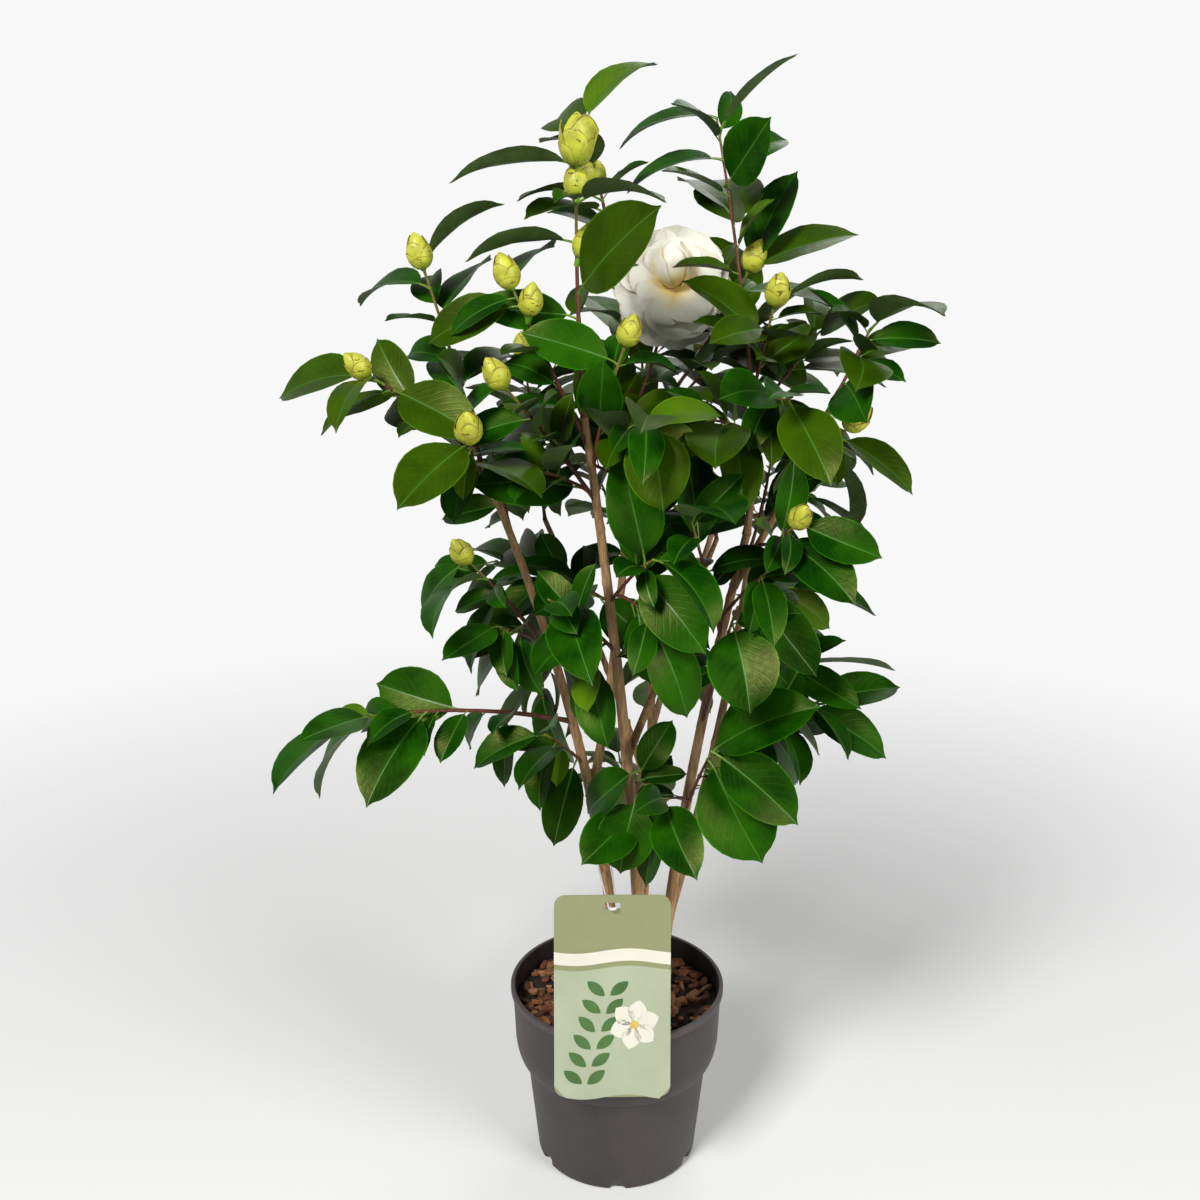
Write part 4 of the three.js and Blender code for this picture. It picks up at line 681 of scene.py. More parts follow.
def walled(rows, columns, keep=None, turned=(0, 3, 2, 1)):
    """Faces of a thin sheet whose points are a front grid and then a back grid: the kept quads
    of both, the back's with their corners turned round, and a quad on every edge that only one
    kept quad has."""
    back = rows * columns
    quads = grid_faces(rows, columns)
    if keep is not None:
        quads = quads[keep.reshape(-1)]
    edges = np.concatenate([quads[:, (k, (k + 1) % 4)] for k in range(4)])
    rim = edges[~np.isin(edges[:, 1] * back + edges[:, 0], edges[:, 0] * back + edges[:, 1])]
    walls = np.stack((rim[:, 1], rim[:, 0], rim[:, 0] + back, rim[:, 1] + back), axis=-1)
    return np.concatenate((quads, quads[:, turned] + back, walls))


def turned_out(points, faces):
    """The faces of each closed shell, turned so that the volume they hold is positive. The volume
    is the sum of the corner products of every triangle, a sixth of it each."""
    a, b, c, d = np.moveaxis(points[:, faces], 2, 0)
    inward = (np.einsum("nfk,nfk->n", a, np.cross(b, c)) + np.einsum("nfk,nfk->n", a, np.cross(c, d))) < 0
    both = np.broadcast_to(faces, (len(points),) + faces.shape).copy()
    both[inward] = both[inward][:, :, (1, 0, 3, 2)]
    return both


class Shell:
    """Gathers closed shells of points and faces, which become one mesh."""

    def __init__(self):
        self.points, self.faces, self.slots, self.maps = [], [], [], []
        self.count = 0

    def add(self, points, faces, slots=0, uv=0):
        """Adds like shells: points (shells, points, 3) in millimetres, one set of faces, a slot
        for all, for each shell, or for each face of each shell, and the points' places on the
        pattern map."""
        points = np.asarray(points, dtype=float)
        points = points[None] if points.ndim == 2 else points
        faces = turned_out(points - points.mean(axis=1, keepdims=True), faces)
        start = self.count + np.arange(len(points)) * points.shape[1]
        slots = np.asarray(slots)
        slots = slots[:, None] if slots.ndim == 1 and len(slots) == len(points) else slots
        self.points.append(points.reshape(-1, 3))
        self.faces.append((faces + start[:, None, None]).reshape(-1, 4))
        self.slots.append(np.broadcast_to(slots, faces.shape[:2]).reshape(-1))
        self.maps.append(np.broadcast_to(uv, points.shape[:2] + (2,)).reshape(-1, 2))
        self.count += points.shape[0] * points.shape[1]

    def piece(self, name, materials, slot, nodes, crease=50):
        """Writes the mesh, makes its object, and fits it to the frame."""
        points = np.concatenate(self.points) * MM
        rows = [row[:3] if row[2] == row[3] else row for row in np.concatenate(self.faces).tolist()]
        mesh = bpy.data.meshes.new(name)
        mesh.from_pydata(points.tolist(), [], rows)
        mesh.polygons.foreach_set("material_index", np.concatenate(self.slots).astype(np.int32))
        corners = np.zeros(len(mesh.loops), dtype=np.int32)
        mesh.loops.foreach_get("vertex_index", corners)
        uv = np.concatenate(self.maps)[corners].astype(np.float32)
        mesh.uv_layers.new(name="pattern").data.foreach_set("uv", uv.reshape(-1))
        for material in materials:
            mesh.materials.append(material)
        mesh.shade_smooth()
        mesh.set_sharp_from_angle(angle=math.radians(crease))
        mesh.update()
        mesh.validate()
        thing = bpy.data.objects.new(name, mesh)
        bpy.context.scene.collection.objects.link(thing)
        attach(thing, BODY)
        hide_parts(*nodes)


def rings_round(middle, across, over, turn, radius):
    """Rings of points: each middle moved across and over by the cosine and the sine of the turn,
    times the radius. The last two axes are the turn and the place in space."""
    x, y = (np.cos(turn) * radius)[..., None], (np.sin(turn) * radius)[..., None]
    return middle + across * x + over * y


def add_thin(shell, place, thick, s, t, slots=0):
    """Adds a thin shell: an outer and an inner grid, whose points the place function gives for
    half a thickness out or in, with the shares across and along as its pattern map."""
    points = np.concatenate((place(thick).reshape(-1, 3), place(-thick).reshape(-1, 3)))
    uv = np.stack((s / 2 + 0.5, t), axis=-1).reshape(-1, 2)
    shell.add(points, walled(*s.shape), slots, np.tile(uv, (2, 1)))


def tube(shell, branch, radii, t, sides, slots=0, relief=None):
    """A closed tube along a branch: each ring is a circle square to it whose radius follows the
    radii and the relief, a function of the turn and of the distance; each end is a low cone.
    Across starts from the axis that the branch runs along least."""
    aside = np.eye(3)[int(np.argmin(np.abs(branch.c - branch.a)))]
    middle, ahead = branch.point(t), branch.ahead(t)
    across = unit(aside - ahead * (ahead @ aside)[:, None])
    turn = circle(sides)
    run = np.concatenate(([0], np.cumsum(np.linalg.norm(np.diff(middle, axis=0), axis=1))))
    radius = np.broadcast_to(radii[:, None], (len(t), sides)).copy()
    if relief is not None:
        radius += relief(turn[None], run[:, None])
    ring = rings_round(middle[:, None], across[:, None], np.cross(across, ahead)[:, None], turn, radius)
    if branch.grounded:
        ring[0, :, 2] = branch.a[2]
    points = np.concatenate((ring.reshape(-1, 3), middle[:1], middle[-1:] + ahead[-1:] * radii[-1] * 0.5))
    shell.add(points, ring_faces(len(t), sides), slots)


# ---- the shapes of the plant ------------------------------------------------------------------
FULL_TURN = 6.28
SCALE_THICK, PETAL_THICK = 0.44, 0.9
# The slots of the buds' and the bloom's materials after the first: the edges of scales and wraps,
# the stalk of a bud and the cup of the bloom.
EDGE, BUD_STALK, CUP = 1, 2, 2
# A leaf whose root is higher than this is high, and nearer to the crown's axis than this is inner.
HIGH, INNER = 640, 90


def bark_relief(seed, depth):
    """Relief of a stem's bark: long ridges that wander round the stem, as sines of the turn whose
    phase drifts with the distance, and a low ring and a knot at each old leaf scar."""
    draw = make_draw(seed)
    waves = [(count, draw(0, FULL_TURN), draw(14, 34), draw(0.6, 1.5)) for count in (3, 5, 8, 11)]
    scars = np.cumsum([draw(16, 44) for _ in range(26)])
    scars = [(at, draw(0, FULL_TURN)) for at in scars]

    def relief(turn, run):
        height = sum(np.sin(count * turn + phase + drift * np.sin(run / period)) / (1 + 0.3 * count)
                     for count, phase, period, drift in waves)
        rings = sum(np.exp(-((run - at) / 1.3) ** 2) * (0.5 + 0.5 * np.cos(turn - side))
                    for at, side in scars)
        knots = sum(np.exp(-((run - at - 2.4) / 2.4) ** 2) * np.exp(3.2 * (np.cos(turn - side) - 1))
                    for at, side in scars)
        return depth * (height * 0.42 + rings * 1.1 + knots * 2.1)
    return relief


def build_limbs(plant, materials):
    """Stems and boughs: tapered tubes with a flared foot, a collar where they fork, and bark."""
    shell = Shell()
    for number, limb in enumerate(plant.limbs.values()):
        t = np.linspace(0, 1, max(24, int(limb.length / 2.6)))
        flare = 0.35 * np.exp(-t * 30) if limb.grounded else 0.32 * np.exp(-(t * limb.length) / 5)
        tube(shell, limb, limb.girth(t) * (1 + flare), t, 22, relief=bark_relief(400 + number * 7, 0.24))
    shell.piece("stems_and_boughs", materials, "bark", LIMBS, crease=80)


def build_shoots(plant, materials):
    """The shoots of every mass, older and browner at the foot and green at the tip: an even taper
    with a collar at the foot and a swelling at each of five leaf scars."""
    shell, sides = Shell(), 9
    for number, made in enumerate(plant.shoots):
        branch = made["branch"]
        t = np.linspace(0, 1, max(14, int(branch.length / 3)))
        draw = make_draw(900 + number * 11)
        radii = branch.girth(t) * 0.82 * (1 + 0.5 * np.exp(-(t * branch.length) / 3))
        for share in [draw(0.2, 1) for _ in range(5)]:
            radii = radii + 0.34 * np.exp(-(((t - share) * branch.length) / 2.0) ** 2)
        rings = len(t) - 1
        green = np.repeat(np.arange(rings), sides) > rings * draw(0.72, 0.86)
        slots = np.concatenate((green, np.zeros(sides, dtype=bool), np.ones(sides, dtype=bool))).astype(int)
        tube(shell, branch, radii, t, sides, slots=slots[None])
    shell.piece("shoots", materials, "bark", MASSES, crease=80)


LEAF_STATIONS = np.array((0.035, 0.09, 0.17, 0.27, 0.38, 0.5, 0.62, 0.73, 0.82, 0.885, 0.93, 0.965))
# The slots of the leaves' materials. The upper side has one of the last four: a tone of its own, or for some
# inner leaves a darker copy of the leaf finish, which is painted shade.
BACK, RIB, PAINTED_SHADE, DEEP, OLIVE, YOUNG = range(6)
OWN = -1


def leaf_arrays(blades):
    """The blades' vectors and sizes as arrays with one row a leaf, and each blade's own ripple."""
    pack = {key: np.array([blade[key] for blade in blades])
            for key in ("root", "leaves", "base", "along", "normal", "side")}
    for key in ("length", "width", "bend", "fold"):
        pack[key] = np.array([blade[key] for blade in blades])[:, None, None]
    draw = make_draw(2203)
    for key, low, high in (("ripple", 0.1, 0.7), ("phase", 0, FULL_TURN), ("curl", 0.2, 0.8),
                           ("hook", 0.0, 0.25), ("twist", -0.25, 0.25), ("skew", -0.04, 0.04)):
        pack[key] = np.array([draw(low, high) for _ in blades])[:, None, None]
    return pack


def half_width(pack, t):
    """Half the width of the blades at the shares t, drawn in before the tip to a short point."""
    drawn_in = 1 - 0.5 * np.exp(-((t - 0.96) / 0.045) ** 2)
    return pack["width"] / 2 * np.maximum(0, smooth_along(LEAF_OUTLINE, t)) * drawn_in


def leaf_points(pack, t, x, thick):
    """Points of the blades at the shares t of the length and x of the half width, moved by a
    thickness. The midrib is an arc that turns down by the bend and hooks down at the tip; the
    halves rise by the fold, arch between rib and margin, ripple along the margin and twist."""
    base, ahead, normal, side = (pack[key][:, None, None] for key in ("base", "along", "normal", "side"))
    bend, length, hook = pack["bend"], pack["length"], pack["hook"]
    turn = bend * t + hook * t ** 5
    run = length * np.sin(bend * t) / bend
    drop = length * ((1 - np.cos(bend * t)) / bend + hook * t ** 6 / 6)
    sideways = length * pack["skew"] * np.sin(math.pi * t)
    half = half_width(pack, t)
    lean = pack["twist"] * (t - 0.3) * x
    arch = np.abs(x) * (1 + pack["curl"] * (1 - np.abs(x)))
    ripple = pack["ripple"] * 0.9 * x * x * np.sin(t * 15 + pack["phase"] + x * 1.2) * np.sin(math.pi * t)
    rise = half * (arch * np.sin(pack["fold"]) + lean) + ripple + thick
    over = ahead * np.sin(turn)[..., None] + normal * np.cos(turn)[..., None]
    return (base + ahead * run[..., None] - normal * drop[..., None]
            + side * (half * x * np.cos(pack["fold"]) + sideways)[..., None] + over * rise[..., None])


def leaf_shell(shell, pack, tones):
    """Closed shells of the blades: the upper side has two strips a side and a sunken rib, the
    underside two strips a side and a raised rib; both meet in the margin and end in a point."""
    t = LEAF_STATIONS[None, :, None]
    rows, count = len(LEAF_STATIONS), len(tones)
    rib = np.minimum(0.3, (0.75 - 0.5 * t) / np.maximum(half_width(pack, t), 0.01))
    one = np.ones_like(rib)
    parts = []
    for shares, lifts in (
        ((-one, -0.55 * one, -rib, rib, 0.55 * one, one), (0, 0.1, -0.12, -0.12, 0.1, 0)),
        ((-0.55 * one, 0 * one, 0.55 * one), (-0.35, -0.95, -0.35)),
    ):
        across = np.concatenate(shares, axis=2)
        parts.append((across, np.broadcast_to(t, across.shape), np.array(lifts)))
    ends = np.broadcast_to(vec((0, 1))[None, :, None], (count, 2, 1))
    parts.append((0 * ends, ends, 0))
    points = np.concatenate([leaf_points(pack, share, x, lift).reshape(count, -1, 3)
                             for x, share, lift in parts], axis=1)
    u = np.concatenate([(x / 2 + 0.5).reshape(count, -1) for x, _, _ in parts], axis=1)
    v = np.concatenate([share.reshape(count, -1) for _, share, _ in parts], axis=1)
    upper = np.arange(rows * 6).reshape(rows, 6)
    under = rows * 6 + np.arange(rows * 3).reshape(rows, 3)
    lower = np.concatenate((upper[:, :1], under, upper[:, 5:]), axis=1)
    root, tip = rows * 9, rows * 9 + 1
    top_quads = np.stack((upper[:-1, :-1], upper[:-1, 1:], upper[1:, 1:], upper[1:, :-1]), axis=-1)
    low_quads = np.stack((lower[:-1, :-1], lower[1:, :-1], lower[1:, 1:], lower[:-1, 1:]), axis=-1)
    faces = np.concatenate((
        top_quads.reshape(-1, 4), low_quads.reshape(-1, 4),
        fan_faces(upper[0][::-1], root, wrap=False), fan_faces(upper[-1], tip, wrap=False),
        fan_faces(lower[0], root, wrap=False), fan_faces(lower[-1][::-1], tip, wrap=False),
    ))
    strip = [OWN, OWN, RIB, OWN, OWN]
    kinds = np.array(strip * (rows - 1) + [BACK] * 4 * (rows - 1) + strip * 2 + [BACK] * 8)
    shell.add(points, faces, np.where(kinds == OWN, tones[:, None], kinds), np.stack((u, v), axis=-1))


def stalk_shell(shell, pack):
    """Leaf stalks: a five-sided tube that leaves the shoot one way, bends to the blade's way, and
    runs on under the first part of its rib. It swells where it leaves the shoot."""
    t = np.array((0, 0.12, 0.4, 0.7, 1.0))[None, :, None]
    root, base, leaves, ahead, normal, side = (
        pack[key][:, None] for key in ("root", "base", "leaves", "along", "normal", "side"))
    start = root - unit(base - root) * ROOT_DEPTH
    knee = root + leaves * np.linalg.norm(base - root, axis=2, keepdims=True) * 0.55
    end = base + ahead * (pack["length"] * 0.06) - normal * 0.35
    middle = start * (1 - t) ** 2 + knee * 2 * t * (1 - t) + end * t * t
    ahead = unit((knee - start) * 2 * (1 - t) + (end - knee) * 2 * t)
    across = unit(side - ahead * (ahead * side).sum(axis=2, keepdims=True))
    radius = np.array((1.35, 1.2, 0.92, 0.85, 0.5))[None, :, None] * np.clip(pack["length"] / 70, 0.6, 1.15)
    over = np.cross(across, ahead)
    ring = rings_round(middle[:, :, None], across[:, :, None], over[:, :, None], circle(5), radius)
    points = np.concatenate((ring.reshape(len(ring), -1, 3), middle[:, :1], middle[:, -1:]), axis=1)
    shell.add(points, ring_faces(t.shape[1], 5))


def build_leaves(plant, materials):
    """All the leaves in one mesh, each dealt one of the tones, with the stalks in a second: few are young,
    many of the high ones olive, and many of the inner ones get the darker copy of the leaf finish that is
    painted shade."""
    pack = leaf_arrays(plant.leaves)
    draw = make_draw(515)
    tones = []
    for root in pack["root"]:
        lot = draw(0, 1)
        inner = math.hypot(root[0] - CROWN_AXIS[0], root[1] - CROWN_AXIS[1]) <= INNER
        if lot < 0.05:
            tones.append(YOUNG)
        elif root[2] > HIGH and lot < 0.6:
            tones.append(OLIVE)
        else:
            # Inner leaves may take the darker copy of the leaf finish: painted shade inside the crown.
            tones.append(PAINTED_SHADE if inner and lot < 0.5 else DEEP)
    shell, stalks = Shell(), Shell()
    leaf_shell(shell, pack, np.array(tones))
    shell.piece("leaves", materials[:-1], "foliage", MASSES, crease=60)
    stalk_shell(stalks, pack)
    stalks.piece("leaf_stalks", materials[-1:], "foliage", MASSES, crease=80)


def egg_profile(height):
    """The radius of a bud as a share of its widest, at a share of its height: a power of a sine
    that swells low and ends in a blunt point."""
    return np.sin(math.pi * np.clip(height, 0, 1) ** 0.82) ** 0.68


def egg_sides(direction):
    """The two directions that the turns round an egg are counted from."""
    side = unit(np.cross(direction, (1.0, 0.3, 0.1)))
    return side, np.cross(direction, side)


def scale_shell(shell, egg, turn, reach, lift=0.2, opening=0, rows=8, columns=9, span=1.15, slot=0):
    """One bud scale: a patch of the egg that covers a span of its girth up to a share of its
    height, lifted off it, free at its rounded upper edge, where it may stand open. The edge has a
    slot of its own."""
    base, direction, length, girth = egg
    side, over = egg_sides(direction)
    s, t = np.meshgrid(np.linspace(-1, 1, columns), (*np.linspace(0, 0.95, rows - 1), 1.0))
    height = t * (1 - 0.3 * np.abs(s) ** 2.2) * reach
    azimuth = turn + s * span * (1 - 0.2 * t)
    radius = length * (girth * egg_profile(0.03 + 0.95 * height) + opening * t ** 3) + lift
    middle = base + direction * (height * length)[..., None]

    def place(thick):
        return rings_round(middle, side, over, azimuth, np.maximum(radius + thick, 0.05))

    quads = (rows - 1) * (columns - 1)
    slots = np.full(2 * (quads + rows + columns - 2), slot)
    slots[quads - columns + 1:quads] = slots[2 * quads:] = slot or EDGE
    add_thin(shell, place, SCALE_THICK / 2, s, t, slots[None])


def egg_shell(shell, egg, sides=16, rows=12):
    """A closed egg, whose radius follows the bud's profile."""
    base, direction, length, girth = egg
    share = (1 - np.cos(math.pi * np.arange(1, rows) / rows)) / 2
    radius = (girth * length * egg_profile(share))[:, None]
    turn = circle(sides)
    middle = base + direction * (share * length)[:, None, None]
    ring = rings_round(middle, *egg_sides(direction), turn, radius)
    points = np.concatenate((ring.reshape(-1, 3), [base], [base + direction * length]))
    uv = np.stack(np.meshgrid(turn / (2 * math.pi), share), axis=-1).reshape(-1, 2)
    shell.add(points, ring_faces(rows - 1, sides), 0, np.concatenate((uv, [[0.5, 0], [0.5, 1]])))


def build_buds(plant, materials):
    """Flower buds: an egg in overlapping scales with brown edges, on a short green stalk."""
    shell, count = Shell(), 8
    for number, bud in enumerate(plant.buds):
        draw = make_draw(7100 + number * 23)
        base, direction = bud["base"], bud["direction"]
        egg = (base, direction, bud["length"] * 0.94, BUD["girth"] * 0.92)
        egg_shell(shell, egg)
        turn = draw(0, FULL_TURN)
        for k in range(count):
            share = k / (count - 1)
            opening = (0.16 if bud["top"] else 0.012) * share ** 2
            scale_shell(shell, egg, turn + k * 2.4, 0.34 + 0.6 * share, 0.25 + 0.16 * (count - k), opening,
                        span=1.1 + draw(-0.1, 0.1))
        root, t = bud["root"], np.linspace(0, 1, 5)
        stalk = Branch(root - direction * ROOT_DEPTH * 2, root + direction, base + direction * 3, (1.9, 3.2))
        tube(shell, stalk, stalk.girth(t), t, 8, slots=BUD_STALK)
    shell.piece("flower_buds", materials, "foliage", sorted({bud["mass"] for bud in plant.buds}), crease=45)


def petal_shell(shell, origin, runs, normal, length, width, bend, cup, wave, phase, notch):
    """One petal: a fan of rows and columns whose reach is shorter towards its sides and notched
    in the middle, bent along its length, cupped across it, with a waved free edge."""
    side = np.cross(runs, normal)
    s, t = np.meshgrid(np.linspace(-1, 1, 13), np.linspace(0, 1, 12))
    reach = 1 - 0.3 * np.abs(s) ** 2.4 - notch * np.exp(-(s / 0.14) ** 2)
    broad = 0.16 + 0.9 * np.sin(np.clip(t * 1.9, 0, math.pi / 2 + 0.35)) ** 0.9
    half = width / 2 * broad * (1 - 0.1 * t ** 4)
    turn = bend * t * reach
    ripple = wave * length * t ** 3 * (np.sin(s * 6.3 + phase) + 0.5 * np.sin(s * 11 + phase * 2.1))
    rise = half * cup * s * s + ripple + 0.012 * length * np.sin(s * 14 + phase) * t * (1 - t)
    over = runs * np.sin(turn)[..., None] + normal * np.cos(turn)[..., None]
    flat = (origin + runs * (length * np.sin(turn) / bend)[..., None]
            - normal * (length * (1 - np.cos(turn)) / bend)[..., None]
            + side * (half * s * (1 - 0.15 * cup))[..., None])

    def place(thick):
        return flat + over * (rise + thick)[..., None]

    add_thin(shell, place, PETAL_THICK / 2 * np.minimum(1, 1.6 * (1 - t) + 0.35), s, t)


# Whorls of the bloom: how many petals, first turn, lean out of the flower's plane, length and
# width as shares of the bloom, bend, cup, wave, start along the axis.
WHORLS = [
    (6, 12, 2, 0.51, 0.6, 0.5, 0.14, 0.03, 0.02),
    (5, 48, 12, 0.47, 0.6, 0.4, 0.18, 0.03, 0.035),
    (5, 15, 25, 0.37, 0.46, 0.5, 0.16, 0.035, 0.05),
]
# The wraps of the bloom's heart: turn, reach, how far off the heart, how far open, span.
WRAPS = [(1.3, 0.93, 1.0, 0.02, 1.4), (4.7, 0.98, 1.6, 0.13, 1.25)]


def build_bloom(plant, materials):
    """The open bloom: whorls of broad waved petals round a heart that is still rolled up in two
    wraps and leans, in a cup of green scales."""
    shell, draw = Shell(), make_draw(88)
    base, direction, side, over = (plant.bloom[key] for key in ("base", "direction", "side", "over"))
    for count, first, lean, length, width, bend, cup, wave, start in WHORLS:
        for k in range(count):
            a = math.radians(first + k * 360 / count + draw(-7, 7))
            out = side * math.cos(a) + over * math.sin(a)
            tilt = math.radians(lean + draw(-5, 5))
            runs = out * math.cos(tilt) + direction * math.sin(tilt)
            normal = direction * math.cos(tilt) - out * math.sin(tilt)
            petal_shell(shell, base + direction * (BLOOM_WIDTH * start) + out * 1.5, runs, normal,
                        BLOOM_WIDTH * length * draw(0.93, 1.03), BLOOM_WIDTH * width,
                        bend + draw(-0.1, 0.1), cup, wave * draw(0.7, 1.3), draw(0, FULL_TURN),
                        draw(0.0, 0.06))
    rise = unit(UP - direction * (UP @ direction))
    rolled = unit(rise * 0.9 + direction * 0.42 + side * 0.15)
    foot = base + direction * (BLOOM_WIDTH * 0.1) - rolled * (BLOOM_WIDTH * 0.03)
    heart = (foot, rolled, BLOOM_WIDTH * 0.35, 0.38)
    egg_shell(shell, heart, sides=22, rows=16)
    for turn, reach, lift, opening, span in WRAPS:
        scale_shell(shell, heart, turn, reach, lift, opening, rows=14, columns=17, span=span)
    cup = (base - direction * 7, direction, 17, 0.75)
    for k in range(5):
        scale_shell(shell, cup, k * 1.26, 0.6, 0.3, 0.08, span=0.8, slot=CUP)
    shell.piece("bloom", materials, "foliage", ["bloom_spray"], crease=60)


# ---- the pot, its filling, the card and its loop ----------------------------------------------
def pot_radius(z):
    """Outer radius of the pot: a body that widens to the waist, a quarter round shoulder, and a
    collar that widens a little to the rim."""
    foot, top = POT["collar_foot"], POT["collar_foot"] + POT["shoulder"]
    body = POT["foot_radius"] + (POT["waist_radius"] - POT["foot_radius"]) * z / foot
    share = np.clip(1 - (z - foot) / POT["shoulder"], 0, 1)
    waist, wide, rim = POT["waist_radius"], POT["collar_radius"], POT["rim_radius"] - POT["lip_step"]
    round_part = waist + (wide - waist) * np.sqrt(1 - share ** 2)
    collar = wide + (rim - wide) * (z - top) / (POT["height"] - top)
    return np.where(z <= foot, body, np.where(z <= top, round_part, collar))


def wall_line(heights, inset=0):
    """Points (radius, height) of the pot's profile at the heights, moved in by the inset."""
    return [(float(pot_radius(z)) - inset, float(z)) for z in heights]


def drain_dent(radius, height, turn):
    """Draws the wall in over each drain slot at the foot, where the height and the distance from
    the slot's middle are both small."""
    pitch = 2 * math.pi / DRAIN["count"]
    across = np.abs(turn % pitch - pitch / 2) * radius / (DRAIN["width"] / 2)
    inside = np.clip((1.1 - across) * 6, 0, 1) * np.clip((DRAIN["height"] + 0.6 - height) / 0.6, 0, 1)
    return radius - np.where(radius > POT["foot_radius"] - 4, inside * 3.2, 0)


def build_pot(materials):
    """The nursery pot: a thin wall with a rounded lip and an inside that is painted darker as shade, turned
    round its axis.
    """
    height, rim, sides = POT["height"], POT["rim_radius"], 180
    lip_foot = height - POT["lip_height"]
    shoulder = POT["shoulder"] * (1 - np.cos(np.linspace(0.12, math.pi / 2, 12)))
    body = wall_line((*np.linspace(2.2, POT["collar_foot"], 14), *(POT["collar_foot"] + shoulder),
                      *np.linspace(128, lip_foot - 0.3, 8)))
    lip = [(rim - 0.5, lip_foot), (rim - 0.05, lip_foot + 0.5), (rim, lip_foot + 1.2), (rim, height - 1.0),
           (rim - 0.3, height - 0.3), (rim - 1.0, height)]
    edge = float(pot_radius(height)) - POT["wall"]
    profile = np.array([
        (2, 0), (POT["foot_radius"] - 2.5, 0), (POT["foot_radius"] - 0.6, 0.6), *body, *lip,
        (edge + 0.8, height), (edge, height - 0.7),
        *wall_line(np.linspace(height - 4, SOIL_TOP - 6, 6), POT["wall"]),
        (60, SOIL_TOP - 7), (2, SOIL_TOP - 7)])
    count, turn = len(profile), circle(sides)
    z = np.repeat(profile[:, 1:], sides, axis=1)
    radius = drain_dent(np.repeat(profile[:, :1], sides, axis=1), z, turn[None])
    rings = np.stack((radius * np.cos(turn), radius * np.sin(turn), z), axis=-1)
    points = np.concatenate((rings.reshape(-1, 3), [(0, 0, profile[0, 1]), (0, 0, profile[-1, 1])]))
    slots = np.zeros(count - 1, dtype=int)
    slots[len(body) + 4:] = 1
    # The inside wall takes the third finish, the pot's colour darkened: painted shade.
    slots[len(body) + len(lip) + 3:] = 2
    shell = Shell()
    shell.add(points, ring_faces(count, sides), np.repeat((*slots, slots[0], slots[-1]), sides)[None])
    shell.piece("nursery_pot", materials, "pot", ["pot"], crease=40)


def ground_height(x, y):
    """Height of the mix's crumbly top: a sum of crossing sines."""
    long, middling = np.sin(x / 7.3 + 1) * np.sin(y / 6.1), np.sin(x / 3.1 + y / 4.7)
    return SOIL_TOP - 2.2 + (long + 0.6 * middling + 0.4 * np.sin(y / 2.3 - x / 5.9)) * 0.8


def spin(p, q, angle):
    """The two coordinates turned by an angle for each row."""
    c, s = np.cos(angle)[:, None], np.sin(angle)[:, None]
    return p * c - q * s, p * s + q * c


def squared(turn):
    """Cosine and sine of the turns, drawn out towards the corners of a square."""
    return (np.sign(wave) * np.abs(wave) ** 0.6 for wave in (np.cos(turn), np.sin(turn)))


def build_bed(inside, materials):
    """The bed of mix: a disc with a crumbly top, and a skirt down its edge."""
    turn, floor = circle(96), SOIL_TOP - 9.0
    radii = np.linspace(inside, 3, 40)[:, None]
    x, y = radii * np.cos(turn), radii * np.sin(turn)
    skirt = np.stack((x[:1], y[:1], np.full((1, len(turn)), floor)), axis=-1)
    rings = np.concatenate((skirt, np.stack((x, y, ground_height(x, y)), axis=-1)))
    points = np.concatenate((rings.reshape(-1, 3), [[0, 0, floor], [0, 0, ground_height(0, 0)]]))
    bed = Shell()
    bed.add(points, ring_faces(len(rings), len(turn)))
    bed.piece("potting_bed", materials, "potting_mix", ["potting_mix"], crease=70)


def build_mix(plant, materials):
    """The potting mix: a crumbly round bed, with flakes of bark strewn over it in layers. A flake
    is a flat slab with an uneven outline, tilted and turned. None lies where a stem stands."""
    inside = float(pot_radius(SOIL_TOP)) - POT["wall"] - SOIL_CLEARANCE
    build_bed(inside, materials[:1])
    draw, count, corners = make_draw(611), 330, 8
    rolls = np.array([[draw(0, 1) for _ in range(10 + corners)] for _ in range(count)])
    out, bearing, size, slim, deep, turn, pitch, roll, rise, tone = rolls[:, :10].T
    long = 6 + 14 * size ** 1.6
    short = long * (0.32 + 0.4 * slim)
    thick = 1.4 + 2.6 * deep
    out = np.minimum(inside * np.sqrt(out) * 0.97, inside - long * 0.5)
    cx, cy = out * np.cos(bearing * 2 * math.pi), out * np.sin(bearing * 2 * math.pi)
    rough = 0.78 + 0.34 * rolls[:, 10:]
    shrink = np.array((0.86, 1.0, 0.8))[None, :, None]
    px, py = ((flat * rough * wide[:, None] / 2)[:, None] * shrink
              for flat, wide in zip(squared(circle(corners)), (long, short)))
    pz = np.array((-0.5, 0.3, 0.5))[None, :, None] * thick[:, None, None] + 0.12 * px * np.sin(px * 0.5)
    poles = np.array((-0.5, 0.55)) * thick[:, None]
    px, py, pz = (np.concatenate((flat.reshape(count, -1), ends), axis=1)
                  for flat, ends in ((px, 0 * poles), (py, 0 * poles), (pz, poles)))
    py, pz = spin(py, pz, (roll - 0.5) * 0.75)
    px, pz = spin(px, pz, (pitch - 0.5) * 0.75)
    px, py = spin(px, py, turn * 2 * math.pi)
    lift = ground_height(cx, cy) + thick * 0.4 + 2.6 * rise
    points = np.stack((px + cx[:, None], py + cy[:, None], pz + lift[:, None]), axis=-1)
    keep = np.ones(count, dtype=bool)
    for limb in plant.limbs.values():
        keep &= (not limb.grounded) | (np.hypot(cx - limb.a[0], cy - limb.a[1]) > 7 + long * 0.3)
    flakes = Shell()
    flakes.add(points[keep], ring_faces(3, corners), np.floor(tone[keep] * 3.999).astype(int))
    flakes.piece("bark_flakes", materials[1:], "potting_mix", ["potting_mix"], crease=35)


